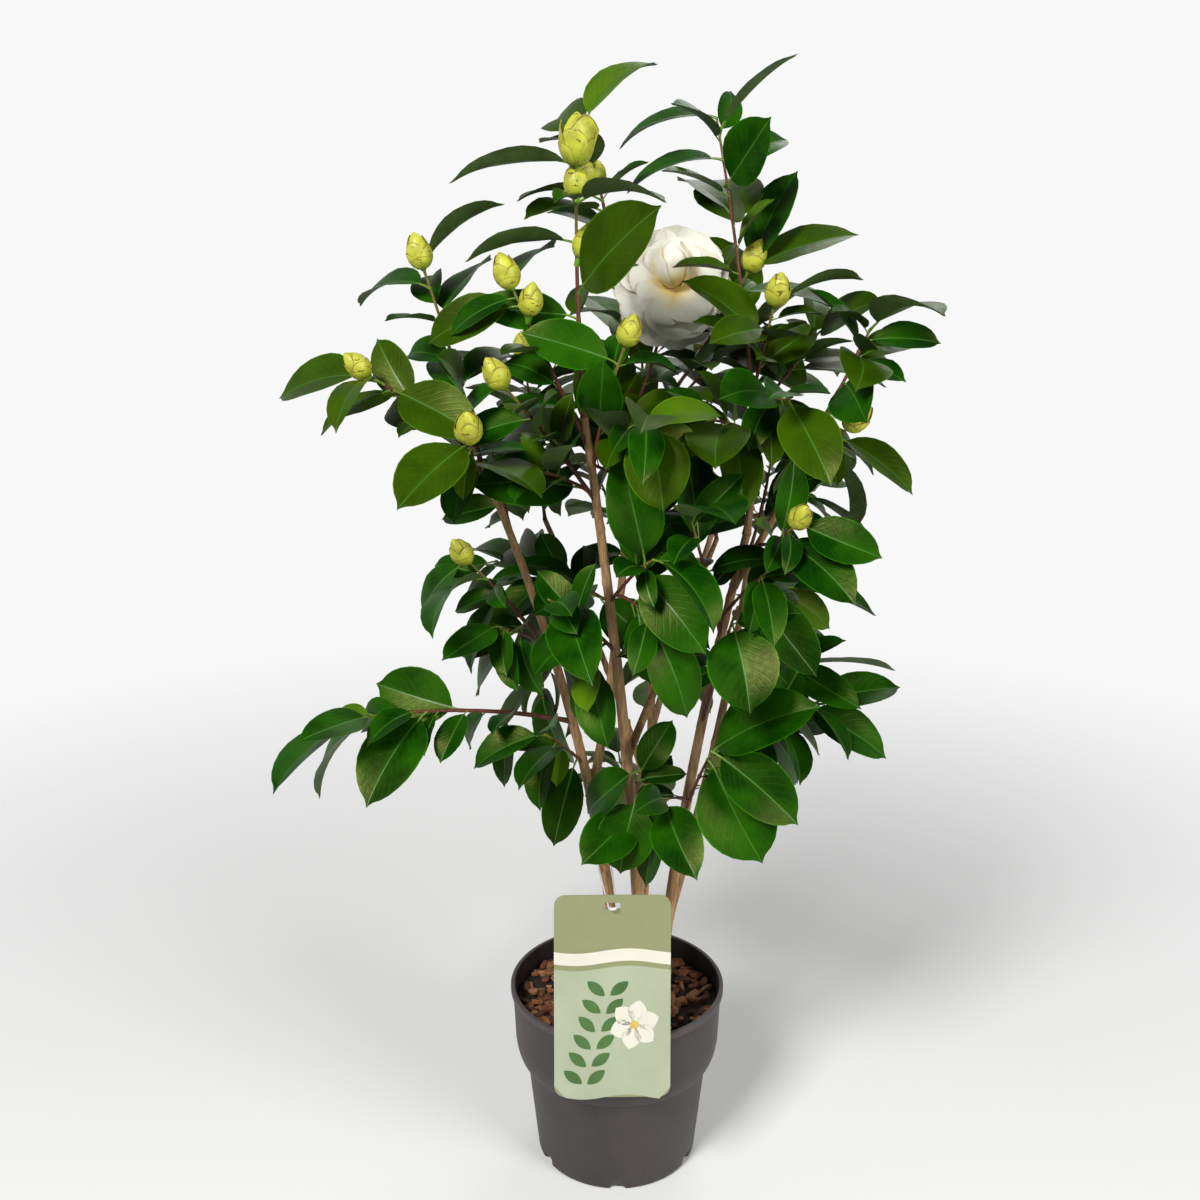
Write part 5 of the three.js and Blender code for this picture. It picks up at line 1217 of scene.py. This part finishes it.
def card_inset(up):
    """How far the card's sides draw in at its rounded corners."""
    short = np.clip(CARD["corner"] - (0.5 - np.abs(up)) * CARD["height"], 0, CARD["corner"])
    return CARD["corner"] - np.sqrt(CARD["corner"] ** 2 - short ** 2)


def sheet(shell, slot, across, up, front, back=-0.4, keep=None):
    """A thin sheet that follows the card between two shares of its thickness."""
    points = [card_points(across, through, up).reshape(-1, 3) for through in (front, back)]
    shell.add(np.concatenate(points), walled(*across.shape, keep, (1, 0, 3, 2)), slot)


def card_band(shell, slot, bottom, top):
    """A printed band across the card's face, its upper and lower edges waved by a sine."""
    s, t = np.linspace(-0.5, 0.5, 25)[None], np.linspace(0, 1, 12)[:, None]
    swing = 0.012 * np.sin(s * 7 + 0.6)
    up = (bottom + swing) * (1 - t) + (top + swing) * t
    inset = np.minimum(card_inset(up) / CARD["width"], 0.5)
    sheet(shell, slot, s * (1 - 2 * inset), up, -0.5 - 0.12 / CARD["thickness"])


def card_leaf(shell, slot, centre, length, width, angle, raised=0.22):
    """A small printed leaf: a pointed oval whose half width is a sine of its length."""
    s, t = np.meshgrid(np.linspace(-1, 1, 5), np.linspace(0, 1, 10))
    x, y = width / 2 * s * np.sin(math.pi * t) ** 0.8, length * (t - 0.5)
    c, n = math.cos(angle), math.sin(angle)
    across, up = (x * c - y * n) / CARD["width"], (x * n + y * c) / CARD["height"]
    sheet(shell, slot, centre[0] + across, centre[1] + up, -0.5 - raised / CARD["thickness"])


def build_card(materials):
    """The hang card: a thin wavy sheet with rounded corners and a slot, with a plain printed
    design of two bands, a leafy sprig and a flower."""
    shell = Shell()
    slot_up = 0.5 - CARD_SLOT["from_top"] / CARD["height"]
    half_slot = CARD_SLOT["width"] / 2 / CARD["width"]
    slot_rise = CARD_SLOT["height"] / 2 / CARD["height"]
    bend = np.sin(np.linspace(-math.pi / 2, math.pi / 2, 40)) / 2
    ups = np.unique((*bend, slot_up - slot_rise, slot_up + slot_rise))
    shares = np.unique((*np.linspace(-0.5, 0.5, 15), -half_slot, half_slot))
    across = shares[None] * (1 - 2 * (card_inset(ups)[:, None] / CARD["width"]))
    middle_up, middle_share = ((cuts[1:] + cuts[:-1]) / 2 for cuts in (ups, shares))
    hole = (np.abs(middle_up - slot_up) < slot_rise)[:, None] & (np.abs(middle_share) < half_slot)[None]
    sheet(shell, 0, across, np.broadcast_to(ups[:, None], across.shape), -0.5, 0.5, ~hole)
    card_band(shell, 1, 0.165, 0.225)
    card_band(shell, 2, -0.5, 0.14)
    draw = make_draw(77)
    for share in np.arange(6) / 5:
        for hand in (-1, 1):
            spot = (-0.24 + hand * 0.1 + 0.2 * share, -0.4 + 0.44 * share)
            card_leaf(shell, 3, spot, 19, 9, hand * -0.95 + draw(-0.15, 0.15))
    x, y = 0.19, -0.14
    for a in circle(6) + 0.3:
        spot = (x + 11 * math.cos(a) / CARD["width"], y + 11 * math.sin(a) / CARD["height"])
        card_leaf(shell, 1, spot, 20, 16, a - math.pi / 2, raised=0.3)
    card_leaf(shell, 4, (x, y), 8, 8, 0.4, raised=0.4)
    shell.piece("printed_card", materials, "card", ["hang_card"], crease=40)


def build_loop(plant, materials):
    """The loop: a flat band in an oval path round the left stem and through the card's slot, that
    rises or falls evenly between them."""
    seat, stem = card_seat(), plant.limbs["stem_left"]
    hold = stem.point(TIE["share"])
    back_y, nose_y = hold[1] - (1 - GAP), seat[1] - TIE["reach"]
    slope = (hold[2] - seat[2]) / (back_y - seat[1])
    bend = np.linspace(0, math.pi, 14)
    path = []
    for x, y, radius in ((hold[0], back_y, float(stem.girth(TIE["share"])) + 1 + TIE["band"] / 2),
                         (seat[0], nose_y, -(TIE["nose_radius"] + TIE["band"] / 2))):
        path.append(np.stack((x + radius * np.cos(bend), y + radius * np.sin(bend)), axis=-1))
    path = np.concatenate(path)
    ahead = unit(np.roll(path, -1, axis=0) - np.roll(path, 1, axis=0))
    out = np.stack((ahead[:, 1], -ahead[:, 0]), axis=-1)
    off, high = squared(circle(10))
    flat = path[:, None] + out[:, None] * (off * TIE["band"] / 2)[None, :, None]
    z = hold[2] + high[None] * TIE["width"] / 2 + (flat[..., 1] - back_y) * slope
    points = np.concatenate((flat, z[..., None]), axis=-1).reshape(-1, 3)
    loop = Shell()
    loop.add(points, grid_faces(len(path) + 1, 10, wrap=True) % len(points))
    loop.piece("hanging_loop", materials, "tie", ["card_tie"], crease=50)


# ---- materials --------------------------------------------------------------------------------
def dim(value, factor):
    """A colour made darker or lighter by a factor."""
    return tuple(min(1.0, c * factor) for c in value)


def step(operation, swapped=False):
    """A method that adds a Math node for the value and another number."""
    def made(self, other=0):
        a, b = (other, self) if swapped else (self, other)
        return self.finish.node("ShaderNodeMath", {"operation": operation}, {0: a, 1: b})
    return made


class Value:
    """A number that runs through a material. Arithmetic on it adds Math nodes."""

    def __init__(self, finish, socket):
        self.finish, self.socket = finish, socket

    __add__, __sub__, __rsub__ = step("ADD"), step("SUBTRACT"), step("SUBTRACT", swapped=True)
    __mul__, __pow__ = step("MULTIPLY"), step("POWER")
    sine, size = step("SINE"), step("ABSOLUTE")

    def between(self, low, high):
        """The share of the way from low to high, held between 0 and 1."""
        return self.finish.node("ShaderNodeMapRange", {"clamp": True},
                                {"Value": self, "From Min": low, "From Max": high})


class Finish:
    """A material, or a given node tree, as it is put together."""

    def __init__(self, name, tree=None):
        if tree is None:
            self.material = bpy.data.materials.new(name)
            self.material.use_nodes = True
            tree = self.material.node_tree
            tree.nodes.clear()
        self.tree = tree

    def node(self, kind, settings=None, inputs=None, output=0):
        """Adds a node: its settings first, then the values or links of its sockets."""
        made = self.tree.nodes.new(kind)
        for key, value in (settings or {}).items():
            setattr(made, key, value)
        for key, value in (inputs or {}).items():
            if isinstance(value, Value):
                self.tree.links.new(value.socket, made.inputs[key])
            else:
                made.inputs[key].default_value = value
        return Value(self, made.outputs[output]) if made.outputs else None

    def mix(self, share, a, b):
        """The colour a turned to b by the share."""
        a, b = (c if isinstance(c, Value) else (*c, 1) for c in (a, b))
        return self.node("ShaderNodeMix", {"data_type": "RGBA"}, {0: share, 6: a, 7: b}, output=2)

    def place(self, scale=(1, 1, 1)):
        """The object's own coordinates in metres, stretched by the scale."""
        spot = self.node("ShaderNodeTexCoord", output=3)
        return self.node("ShaderNodeMapping", None, {"Vector": spot, "Scale": scale})

    def pattern(self):
        """The piece's pattern map as two values, across and along."""
        return self.parts(self.node("ShaderNodeUVMap", {"uv_map": "pattern"}))[:2]

    def parts(self, spot):
        """The three values of a vector."""
        first = self.node("ShaderNodeSeparateXYZ", None, {0: spot})
        return [Value(self, socket) for socket in first.socket.node.outputs]

    def noise(self, spot, scale, detail=3, roughness=0.55):
        """A cloudy value between 0 and 1, finer by the scale and the detail."""
        return self.node("ShaderNodeTexNoise", None,
                         {"Vector": spot, "Scale": scale, "Detail": detail, "Roughness": roughness})

    def bump(self, height, distance, strength=1):
        """A normal from a height in units of the distance, in metres."""
        return self.node("ShaderNodeBump", None,
                         {"Height": height, "Distance": distance, "Strength": strength})

    def surface(self, **sockets):
        """Closes the material with a principled surface and returns it."""
        done = self.node("ShaderNodeBsdfPrincipled", None, {
            key.replace("_", " ").title().replace("Ior", "IOR"): value for key, value in sockets.items()})
        self.node("ShaderNodeOutputMaterial", None, {0: done})
        return self.material


def leaf_finish(name, light, deep, gloss=0.36):
    """A leaf's upper side: the flesh drifts between two tones, is lighter along the rib and the
    thin margin, and has faint side veins that run forward. The gloss is warm and mottled."""
    f = Finish(name)
    u, v = f.pattern()
    spot = f.place()
    side = (u - 0.5).size()
    run = v * 62 - side * 44 + f.noise(spot, 60, 2) * 4
    vein = (run.sine() * 0.5 + 0.5) ** 12 * side.between(0.02, 0.08) * (1 - side.between(0.34, 0.48))
    tone = f.mix(f.noise(spot, 24, 3).between(0.36, 0.64), deep, light)
    tone = f.mix((1 - side.between(0.0, 0.1)) * 0.25, tone, dim(light, 1.6))
    tone = f.mix(vein * 0.09, tone, dim(light, 2.2))
    tone = f.mix(f.noise(spot, 700, 3).between(0.5, 0.75) * 0.2, tone, dim(deep, 0.6))
    tone = f.mix(side.between(0.47, 0.497) * 0.5, tone, dim(light, 3.0))
    mottle = f.noise(spot, 210, 4)
    height = vein * -0.22 + mottle * 0.8 + f.noise(spot, 950, 2) * 0.25
    return f.surface(base_color=tone, roughness=mottle * 0.24 + (gloss - 0.12), specular_ior_level=0.2,
                     specular_tint=(1.0, 1.0, 0.3, 1), normal=f.bump(height, 0.0003, 0.75))


def plain_finish(name, light, deep, scale, rough, bump=0.0002, bump_scale=400, stretch=(1, 1, 1), **more):
    """A finish whose tone drifts between two colours, with a fine relief."""
    f = Finish(name)
    spot = f.place(stretch)
    tone = f.mix(f.noise(spot, scale, 4).between(0.32, 0.68), deep, light)
    fine = f.noise(spot, bump_scale, 4)
    tone = f.mix(fine.between(0.6, 0.8) * 0.3, tone, dim(deep, 0.6))
    rough = fine * 0.2 + (rough - 0.1)
    return f.surface(base_color=tone, roughness=rough, normal=f.bump(fine, bump), **more)


def bark_finish(name, light, deep, crack, grey):
    """Bark: lengthwise streaks, short dark cracks, and a grey bloom in patches."""
    f = Finish(name)
    long, spot = f.place((1, 1, 0.09)), f.place()
    streak = f.noise(long, 420, 5, 0.65)
    tone = f.mix(streak.between(0.35, 0.66), deep, light)
    tone = f.mix(f.noise(spot, 55, 4).between(0.55, 0.72) * 0.35, tone, grey)
    cracks = f.noise(long, 900, 3, 0.7).between(0.6, 0.72)
    tone = f.mix(cracks * 0.7, tone, crack)
    height = streak * 1.2 - cracks * 0.8 + f.noise(spot, 1500, 2) * 0.3
    return f.surface(base_color=tone, roughness=streak * 0.2 + 0.62, normal=f.bump(height, 0.0006, 0.9))


def petal_finish(name, ivory, cream):
    """A petal: ivory that turns to cream and then to ochre at its foot, with faint veins that fan
    out and a few brown nibbles at its free edge."""
    f = Finish(name)
    u, v = f.pattern()
    spot = f.place()
    tone = f.mix((1 - v).between(0.35, 0.8) * 0.6, ivory, cream)
    tone = f.mix((1 - v).between(0.6, 0.82) * 0.7, tone, cream)
    fan = ((u - 0.5) * 90).sine() * 0.5 + 0.5
    tone = f.mix(fan * 0.04, tone, dim(cream, 0.9))
    tone = f.mix(f.noise(spot, 45, 3).between(0.5, 0.75) * 0.14, tone, dim(cream, 0.85))
    nibble = v.between(0.975, 0.99) * f.noise(spot, 130, 2).between(0.6, 0.66)
    tone = f.mix(nibble * 0.8, tone, (0.35, 0.2, 0.06))
    height = fan * 0.4 + f.noise(spot, 300, 3)
    return f.surface(base_color=tone, roughness=0.52, normal=f.bump(height, 0.00025, 0.6),
                     subsurface_weight=0.12, subsurface_radius=(0.6, 0.5, 0.4), subsurface_scale=0.004,
                     sheen_weight=0.1)


def scale_finish(name, lime, deep):
    """A bud scale: lime flesh, deeper towards the foot, with short brown cracks and spots."""
    f = Finish(name)
    v, spot = f.pattern()[1], f.place()
    tone = f.mix(f.noise(spot, 120, 3).between(0.35, 0.65), deep, lime)
    tone = f.mix((1 - v).between(0.3, 1.0) * 0.6, tone, (deep[0] * 0.7, deep[1], deep[2] * 0.5))
    crack = f.noise(f.place((1, 1, 2.4)), 150, 3).between(0.64, 0.69)
    tone = f.mix(crack * 0.85, tone, (0.1, 0.03, 0.008))
    height = f.noise(spot, 420, 3) - crack * 0.6
    return f.surface(base_color=tone, roughness=0.42, specular_ior_level=0.4,
                     normal=f.bump(height, 0.0003, 0.7))


def pot_finish(name, light, deep):
    """Moulded plastic: fine grain, upright drag marks, dust in patches."""
    f = Finish(name)
    spot, tall = f.place(), f.place((1, 1, 0.06))
    tone = f.mix(f.noise(spot, 18, 4).between(0.3, 0.7), deep, light)
    drag = f.noise(tall, 260, 3)
    tone = f.mix(drag.between(0.5, 0.8) * 0.25, tone, dim(light, 1.5))
    tone = f.mix(f.noise(spot, 700, 3).between(0.68, 0.78) * 0.5, tone, (0.3, 0.27, 0.24))
    grain = f.noise(spot, 1800, 2)
    return f.surface(base_color=tone, roughness=drag * 0.15 + 0.46, specular_ior_level=0.4,
                     normal=f.bump(grain * 0.6 + drag * 0.4, 0.00025, 0.7))


def floor_finish():
    """A pale floor that melts into the white backdrop away from the pot."""
    f = Finish("floor")
    spot = f.place()
    x, y, _ = f.parts(spot)
    near = 1 - ((x * x + y * y) ** 0.5).between(0.45, 1.7)
    tone = f.mix(f.noise(spot, 3, 4), (0.9, 0.9, 0.89), (0.88, 0.88, 0.87))
    return f.surface(base_color=tone, roughness=0.7, specular_ior_level=0.1, alpha=near ** 1.5)


def shade_sky(tree, stage):
    """The sky: plain white where it is seen, and as a light brightest low at the back and dimmer
    in front and overhead."""
    f = Finish("sky", tree)
    _, ahead, up = f.parts(f.node("ShaderNodeTexCoord"))
    level = ahead.between(-0.5, 0.6) * (1 - stage.front) + stage.front
    level = level * (1 - up.between(0.15, 0.7) * (1 - stage.zenith)) * stage.sky
    level = level + f.node("ShaderNodeLightPath") * (stage.backdrop - level)
    tree.nodes["Background"].inputs[0].default_value = (1, 1, 1, 1)
    tree.links.new(level.socket, tree.nodes["Background"].inputs[1])


# ---- settings ---------------------------------------------------------------------------------
def colour(name, text, value):
    """A colour setting."""
    return bpy.props.FloatVectorProperty(name=name, description=text, default=value, size=3, min=0, max=1,
                                         subtype="COLOR")


def number(name, text, value, **more):
    """A number setting."""
    return bpy.props.FloatProperty(name=name, description=text, default=value, **more)


class ShrubColours(bpy.types.PropertyGroup):
    """Colours of the shrub and its pot."""
    leaf_light: colour("Leaf, lighter tone", "Lighter parts of most leaves", (0.014, 0.088, 0.0008))
    leaf_deep: colour("Leaf, deeper tone", "Deeper parts of most leaves", (0.0014, 0.03, 0.0004))
    leaf_olive: colour("Leaf, olive tone", "Upper side of the leaves near the top", (0.034, 0.085, 0.001))
    leaf_young: colour("Young leaf", "Upper side of the youngest leaves", (0.08, 0.18, 0.004))
    leaf_back: colour("Leaf, underside", "Underside of the leaves", (0.1, 0.17, 0.045))
    leaf_rib: colour("Rib", "Middle rib of a leaf", (0.05, 0.16, 0.012))
    leaf_stalk: colour("Leaf stalk", "Stalks of the leaves", (0.16, 0.3, 0.02))
    bark_light: colour("Bark, lighter tone", "Streaks of the stems' bark", (0.55, 0.34, 0.16))
    bark_deep: colour("Bark, deeper tone", "Hollows of the stems' bark", (0.25, 0.12, 0.045))
    shoot: colour("Shoot", "Bark of the young shoots", (0.15, 0.035, 0.012))
    bud: colour("Bud", "Scales of the flower buds", (0.6, 0.61, 0.055))
    petal: colour("Petal", "Petals of the bloom", (0.93, 0.9, 0.78))
    petal_foot: colour("Petal foot", "Foot of the petals", (0.9, 0.64, 0.14))
    pot: colour("Pot", "Plastic of the pot", (0.052, 0.043, 0.042))
    card: colour("Card", "Stock of the hang card", (0.27, 0.285, 0.14))

    def tones(self, name, light, deep):
        """A colour of the group at two strengths."""
        return dim(getattr(self, name), light), dim(getattr(self, name), deep)


class StageSettings(bpy.types.PropertyGroup):
    """Floor, light and camera."""
    lens: number("Lens", "Focal length of the camera", 39, unit="CAMERA")
    pitch: number("Pitch", "How far the camera looks down", math.radians(15.12), subtype="ANGLE")
    key_power: number("Key light", "Power of the main soft light", 60, unit="POWER")
    sky: number("Sky", "Strength of the even light from the back", 0.52)
    front: number("Front", "Share of the even light that comes from the front", 0.35)
    zenith: number("Zenith", "Share of the even light that comes from above", 0.35)
    backdrop: number("Backdrop", "How bright the backdrop looks", 0.94)


# ---- one operator for each group of pieces ----------------------------------------------------
GROWN = {}


def grown():
    """The plant, grown once."""
    if "plant" not in GROWN:
        GROWN["plant"] = Plant()
    return GROWN["plant"]


class SHRUB_OT_limbs(bpy.types.Operator):
    """Stems and boughs with their bark"""
    bl_idname = "shrub.limbs"
    bl_label = "Stems and boughs"

    def execute(self, context):
        c = context.scene.shrub_colours
        bark = bark_finish("bark", dim(c.bark_light, 1), *c.tones("bark_deep", 1, 0.25), (0.33, 0.27, 0.2))
        build_limbs(grown(), [bark])
        return {"FINISHED"}


class SHRUB_OT_shoots(bpy.types.Operator):
    """Shoots of every mass of foliage"""
    bl_idname = "shrub.shoots"
    bl_label = "Shoots"

    def execute(self, context):
        old = context.scene.shrub_colours.tones("shoot", 1, 0.45)
        build_shoots(grown(), [
            plain_finish("shoot_bark", *old, 260, 0.55, 0.0004, 700, (1, 1, 0.3)),
            plain_finish("green_shoot", (0.2, 0.22, 0.03), (0.16, 0.07, 0.02), 160, 0.42),
        ])
        return {"FINISHED"}


class SHRUB_OT_leaves(bpy.types.Operator):
    """Leaves and their stalks"""
    bl_idname = "shrub.leaves"
    bl_label = "Leaves"

    def execute(self, context):
        c = context.scene.shrub_colours
        build_leaves(grown(), [
            plain_finish("leaf_underside", *c.tones("leaf_back", 1, 0.6), 50, 0.5, 0.0002, 500,
                         specular_ior_level=0.12),
            plain_finish("leaf_rib", *c.tones("leaf_rib", 1, 0.7), 60, 0.4),
            # The leaf finish at 0.6 of its tones, painted shade for the inner leaves.
            leaf_finish("leaf_shade", dim(c.leaf_light, 0.6), dim(c.leaf_deep, 0.6)),
            leaf_finish("leaf_deep", dim(c.leaf_light, 1), dim(c.leaf_deep, 1)),
            leaf_finish("leaf_olive", *c.tones("leaf_olive", 1, 0.55)),
            leaf_finish("leaf_young", *c.tones("leaf_young", 1, 0.6), 0.4),
            plain_finish("leaf_stalk", *c.tones("leaf_stalk", 1, 0.6), 90, 0.4),
        ])
        return {"FINISHED"}


class SHRUB_OT_buds(bpy.types.Operator):
    """Flower buds"""
    bl_idname = "shrub.buds"
    bl_label = "Flower buds"

    def execute(self, context):
        build_buds(grown(), [
            scale_finish("bud_scale", *context.scene.shrub_colours.tones("bud", 1, 0.66)),
            plain_finish("bud_edge", (0.42, 0.38, 0.04), (0.2, 0.11, 0.02), 240, 0.6, 0.0004, 900),
            plain_finish("bud_stalk", (0.15, 0.34, 0.012), (0.08, 0.2, 0.008), 100, 0.45),
        ])
        return {"FINISHED"}


class SHRUB_OT_bloom(bpy.types.Operator):
    """The open bloom"""
    bl_idname = "shrub.bloom"
    bl_label = "Bloom"

    def execute(self, context):
        c = context.scene.shrub_colours
        build_bloom(grown(), [
            petal_finish("petal", dim(c.petal, 1), dim(c.petal_foot, 1)),
            plain_finish("petal_rim", dim(c.petal, 1), dim(c.petal_foot, 0.9), 160, 0.55),
            scale_finish("bloom_cup", *c.tones("bud", 0.7, 0.4)),
        ])
        return {"FINISHED"}


class SHRUB_OT_pot(bpy.types.Operator):
    """Nursery pot"""
    bl_idname = "shrub.pot"
    bl_label = "Pot"

    def execute(self, context):
        c = context.scene.shrub_colours
        # The inside's finish is the pot's colour at 0.4 and 0.2, painted shade.
        build_pot([pot_finish(name, *c.tones("pot", light, deep)) for name, light, deep in (
            ("pot_plastic", 1, 0.7), ("pot_lip", 1.7, 1.2), ("pot_inside", 0.4, 0.2))])
        return {"FINISHED"}


class SHRUB_OT_mix(bpy.types.Operator):
    """Potting mix with flakes of bark"""
    bl_idname = "shrub.mix"
    bl_label = "Potting mix"

    def execute(self, context):
        tones = ((0.2, 0.065, 0.024), (0.32, 0.12, 0.04), (0.1, 0.035, 0.014), (0.42, 0.19, 0.075))
        build_mix(grown(), [
            plain_finish("mix_crumb", (0.035, 0.018, 0.01), (0.01, 0.006, 0.004), 300, 0.9, 0.0015, 600),
            *(plain_finish("flake_%d" % k, tone, dim(tone, 0.45), 220, 0.82, 0.0008, 500, (1, 0.4, 1))
              for k, tone in enumerate(tones)),
        ])
        return {"FINISHED"}


class SHRUB_OT_card(bpy.types.Operator):
    """Hang card and its loop"""
    bl_idname = "shrub.card"
    bl_label = "Hang card"

    def execute(self, context):
        stock = context.scene.shrub_colours.tones("card", 1, 0.93)
        build_card([plain_finish("card_" + name, light, deep, scale, 0.45, 0.00005, 900)
                    for name, light, deep, scale in (
                        ("stock", *stock, 20),
                        ("cream", (0.74, 0.72, 0.6), (0.68, 0.66, 0.55), 20),
                        ("panel", (0.42, 0.46, 0.32), (0.36, 0.4, 0.27), 20),
                        ("sprig", (0.07, 0.17, 0.04), (0.05, 0.12, 0.03), 60),
                        ("heart", (0.7, 0.52, 0.14), (0.6, 0.42, 0.1), 60))])
        build_loop(grown(), [plain_finish("loop_plastic", (0.82, 0.82, 0.8), (0.72, 0.72, 0.7), 60, 0.35,
                                          0.0001, 600)])
        return {"FINISHED"}


# The stage, in metres: each lamp's place, size and share of the key light's power; the point that
# they aim at; the floor's half width and how far it lies below the pot; the camera's place, and the
# width of its sensor in millimetres.
LAMPS = (("key", (-1.0, -1.7, 2.0), 0.7, 1), ("fill", (1.5, -1.4, 1.1), 1.0, 0.45),
         ("back", (0.5, 1.4, 1.9), 1.0, 0.14))
AIM = (0, 0, 0.5)
FLOOR_REACH, FLOOR_DROP = 2, 0.0005
CAMERA_PLACE, SENSOR = (-0.0152, -1.038, 0.797), 36


class SHRUB_OT_stage(bpy.types.Operator):
    """Floor, soft lights and camera"""
    bl_idname = "shrub.stage"
    bl_label = "Stage"

    def execute(self, context):
        stage, link = context.scene.shrub_stage, context.scene.collection.objects.link
        mesh = bpy.data.meshes.new("floor")
        x, y = np.meshgrid(*[np.linspace(-FLOOR_REACH, FLOOR_REACH, 9)] * 2)
        points = np.stack((x, y, 0 * x - FLOOR_DROP), axis=-1).reshape(-1, 3)
        mesh.from_pydata(points, [], grid_faces(*x.shape).tolist())
        mesh.materials.append(floor_finish())
        floor = bpy.data.objects.new("floor", mesh)
        link(floor)
        world = bpy.data.worlds.new("sky")
        world.use_nodes = True
        shade_sky(world.node_tree, stage)
        context.scene.world = world
        context.scene.view_settings.view_transform = "Standard"
        for name, place, size, share in LAMPS:
            light = bpy.data.lights.new(name, "AREA")
            light.shape, light.size, light.energy = "SQUARE", size, stage.key_power * share
            lamp = bpy.data.objects.new(name, light)
            lamp.location = place
            aim = vec(AIM) - vec(place)
            lamp.rotation_euler = (math.pi / 2 + math.atan2(aim[2], math.hypot(aim[0], aim[1])), 0,
                                   math.atan2(-aim[0], aim[1]))
            link(lamp)
        camera = bpy.data.cameras.new("camera")
        camera.lens, camera.sensor_width = stage.lens, SENSOR
        viewer = bpy.data.objects.new("camera", camera)
        viewer.location = CAMERA_PLACE
        viewer.rotation_euler = (math.pi / 2 - stage.pitch, 0, 0)
        link(viewer)
        context.scene.camera = viewer
        return {"FINISHED"}


class SHRUB_PT_panel(bpy.types.Panel):
    """Lists the shrub's operators and settings"""
    bl_idname = "SHRUB_PT_panel"
    bl_label = "Camellia shrub"
    bl_space_type = "VIEW_3D"
    bl_region_type = "UI"
    bl_category = "Shrub"

    def draw(self, context):
        for operator in OPERATORS:
            self.layout.operator(operator.bl_idname)
        for group in (context.scene.shrub_colours, context.scene.shrub_stage):
            for name in group.bl_rna.properties.keys():
                if name not in ("rna_type", "name"):
                    self.layout.prop(group, name)


OPERATORS = (SHRUB_OT_stage, SHRUB_OT_limbs, SHRUB_OT_shoots, SHRUB_OT_leaves, SHRUB_OT_buds,
             SHRUB_OT_bloom, SHRUB_OT_pot, SHRUB_OT_mix, SHRUB_OT_card)
CLASSES = (ShrubColours, StageSettings, *OPERATORS, SHRUB_PT_panel)


def register():
    """Registers the settings, the operators and the panel."""
    for each in CLASSES:
        bpy.utils.register_class(each)
    bpy.types.Scene.shrub_colours = bpy.props.PointerProperty(type=ShrubColours)
    bpy.types.Scene.shrub_stage = bpy.props.PointerProperty(type=StageSettings)


def unregister():
    """Takes them out again."""
    del bpy.types.Scene.shrub_stage
    del bpy.types.Scene.shrub_colours
    for each in reversed(CLASSES):
        bpy.utils.unregister_class(each)


def main():
    """Builds every piece in order."""
    register()
    for operator in OPERATORS:
        getattr(bpy.ops.shrub, operator.bl_idname.split(".")[1])()


if __name__ == "__main__":
    main()
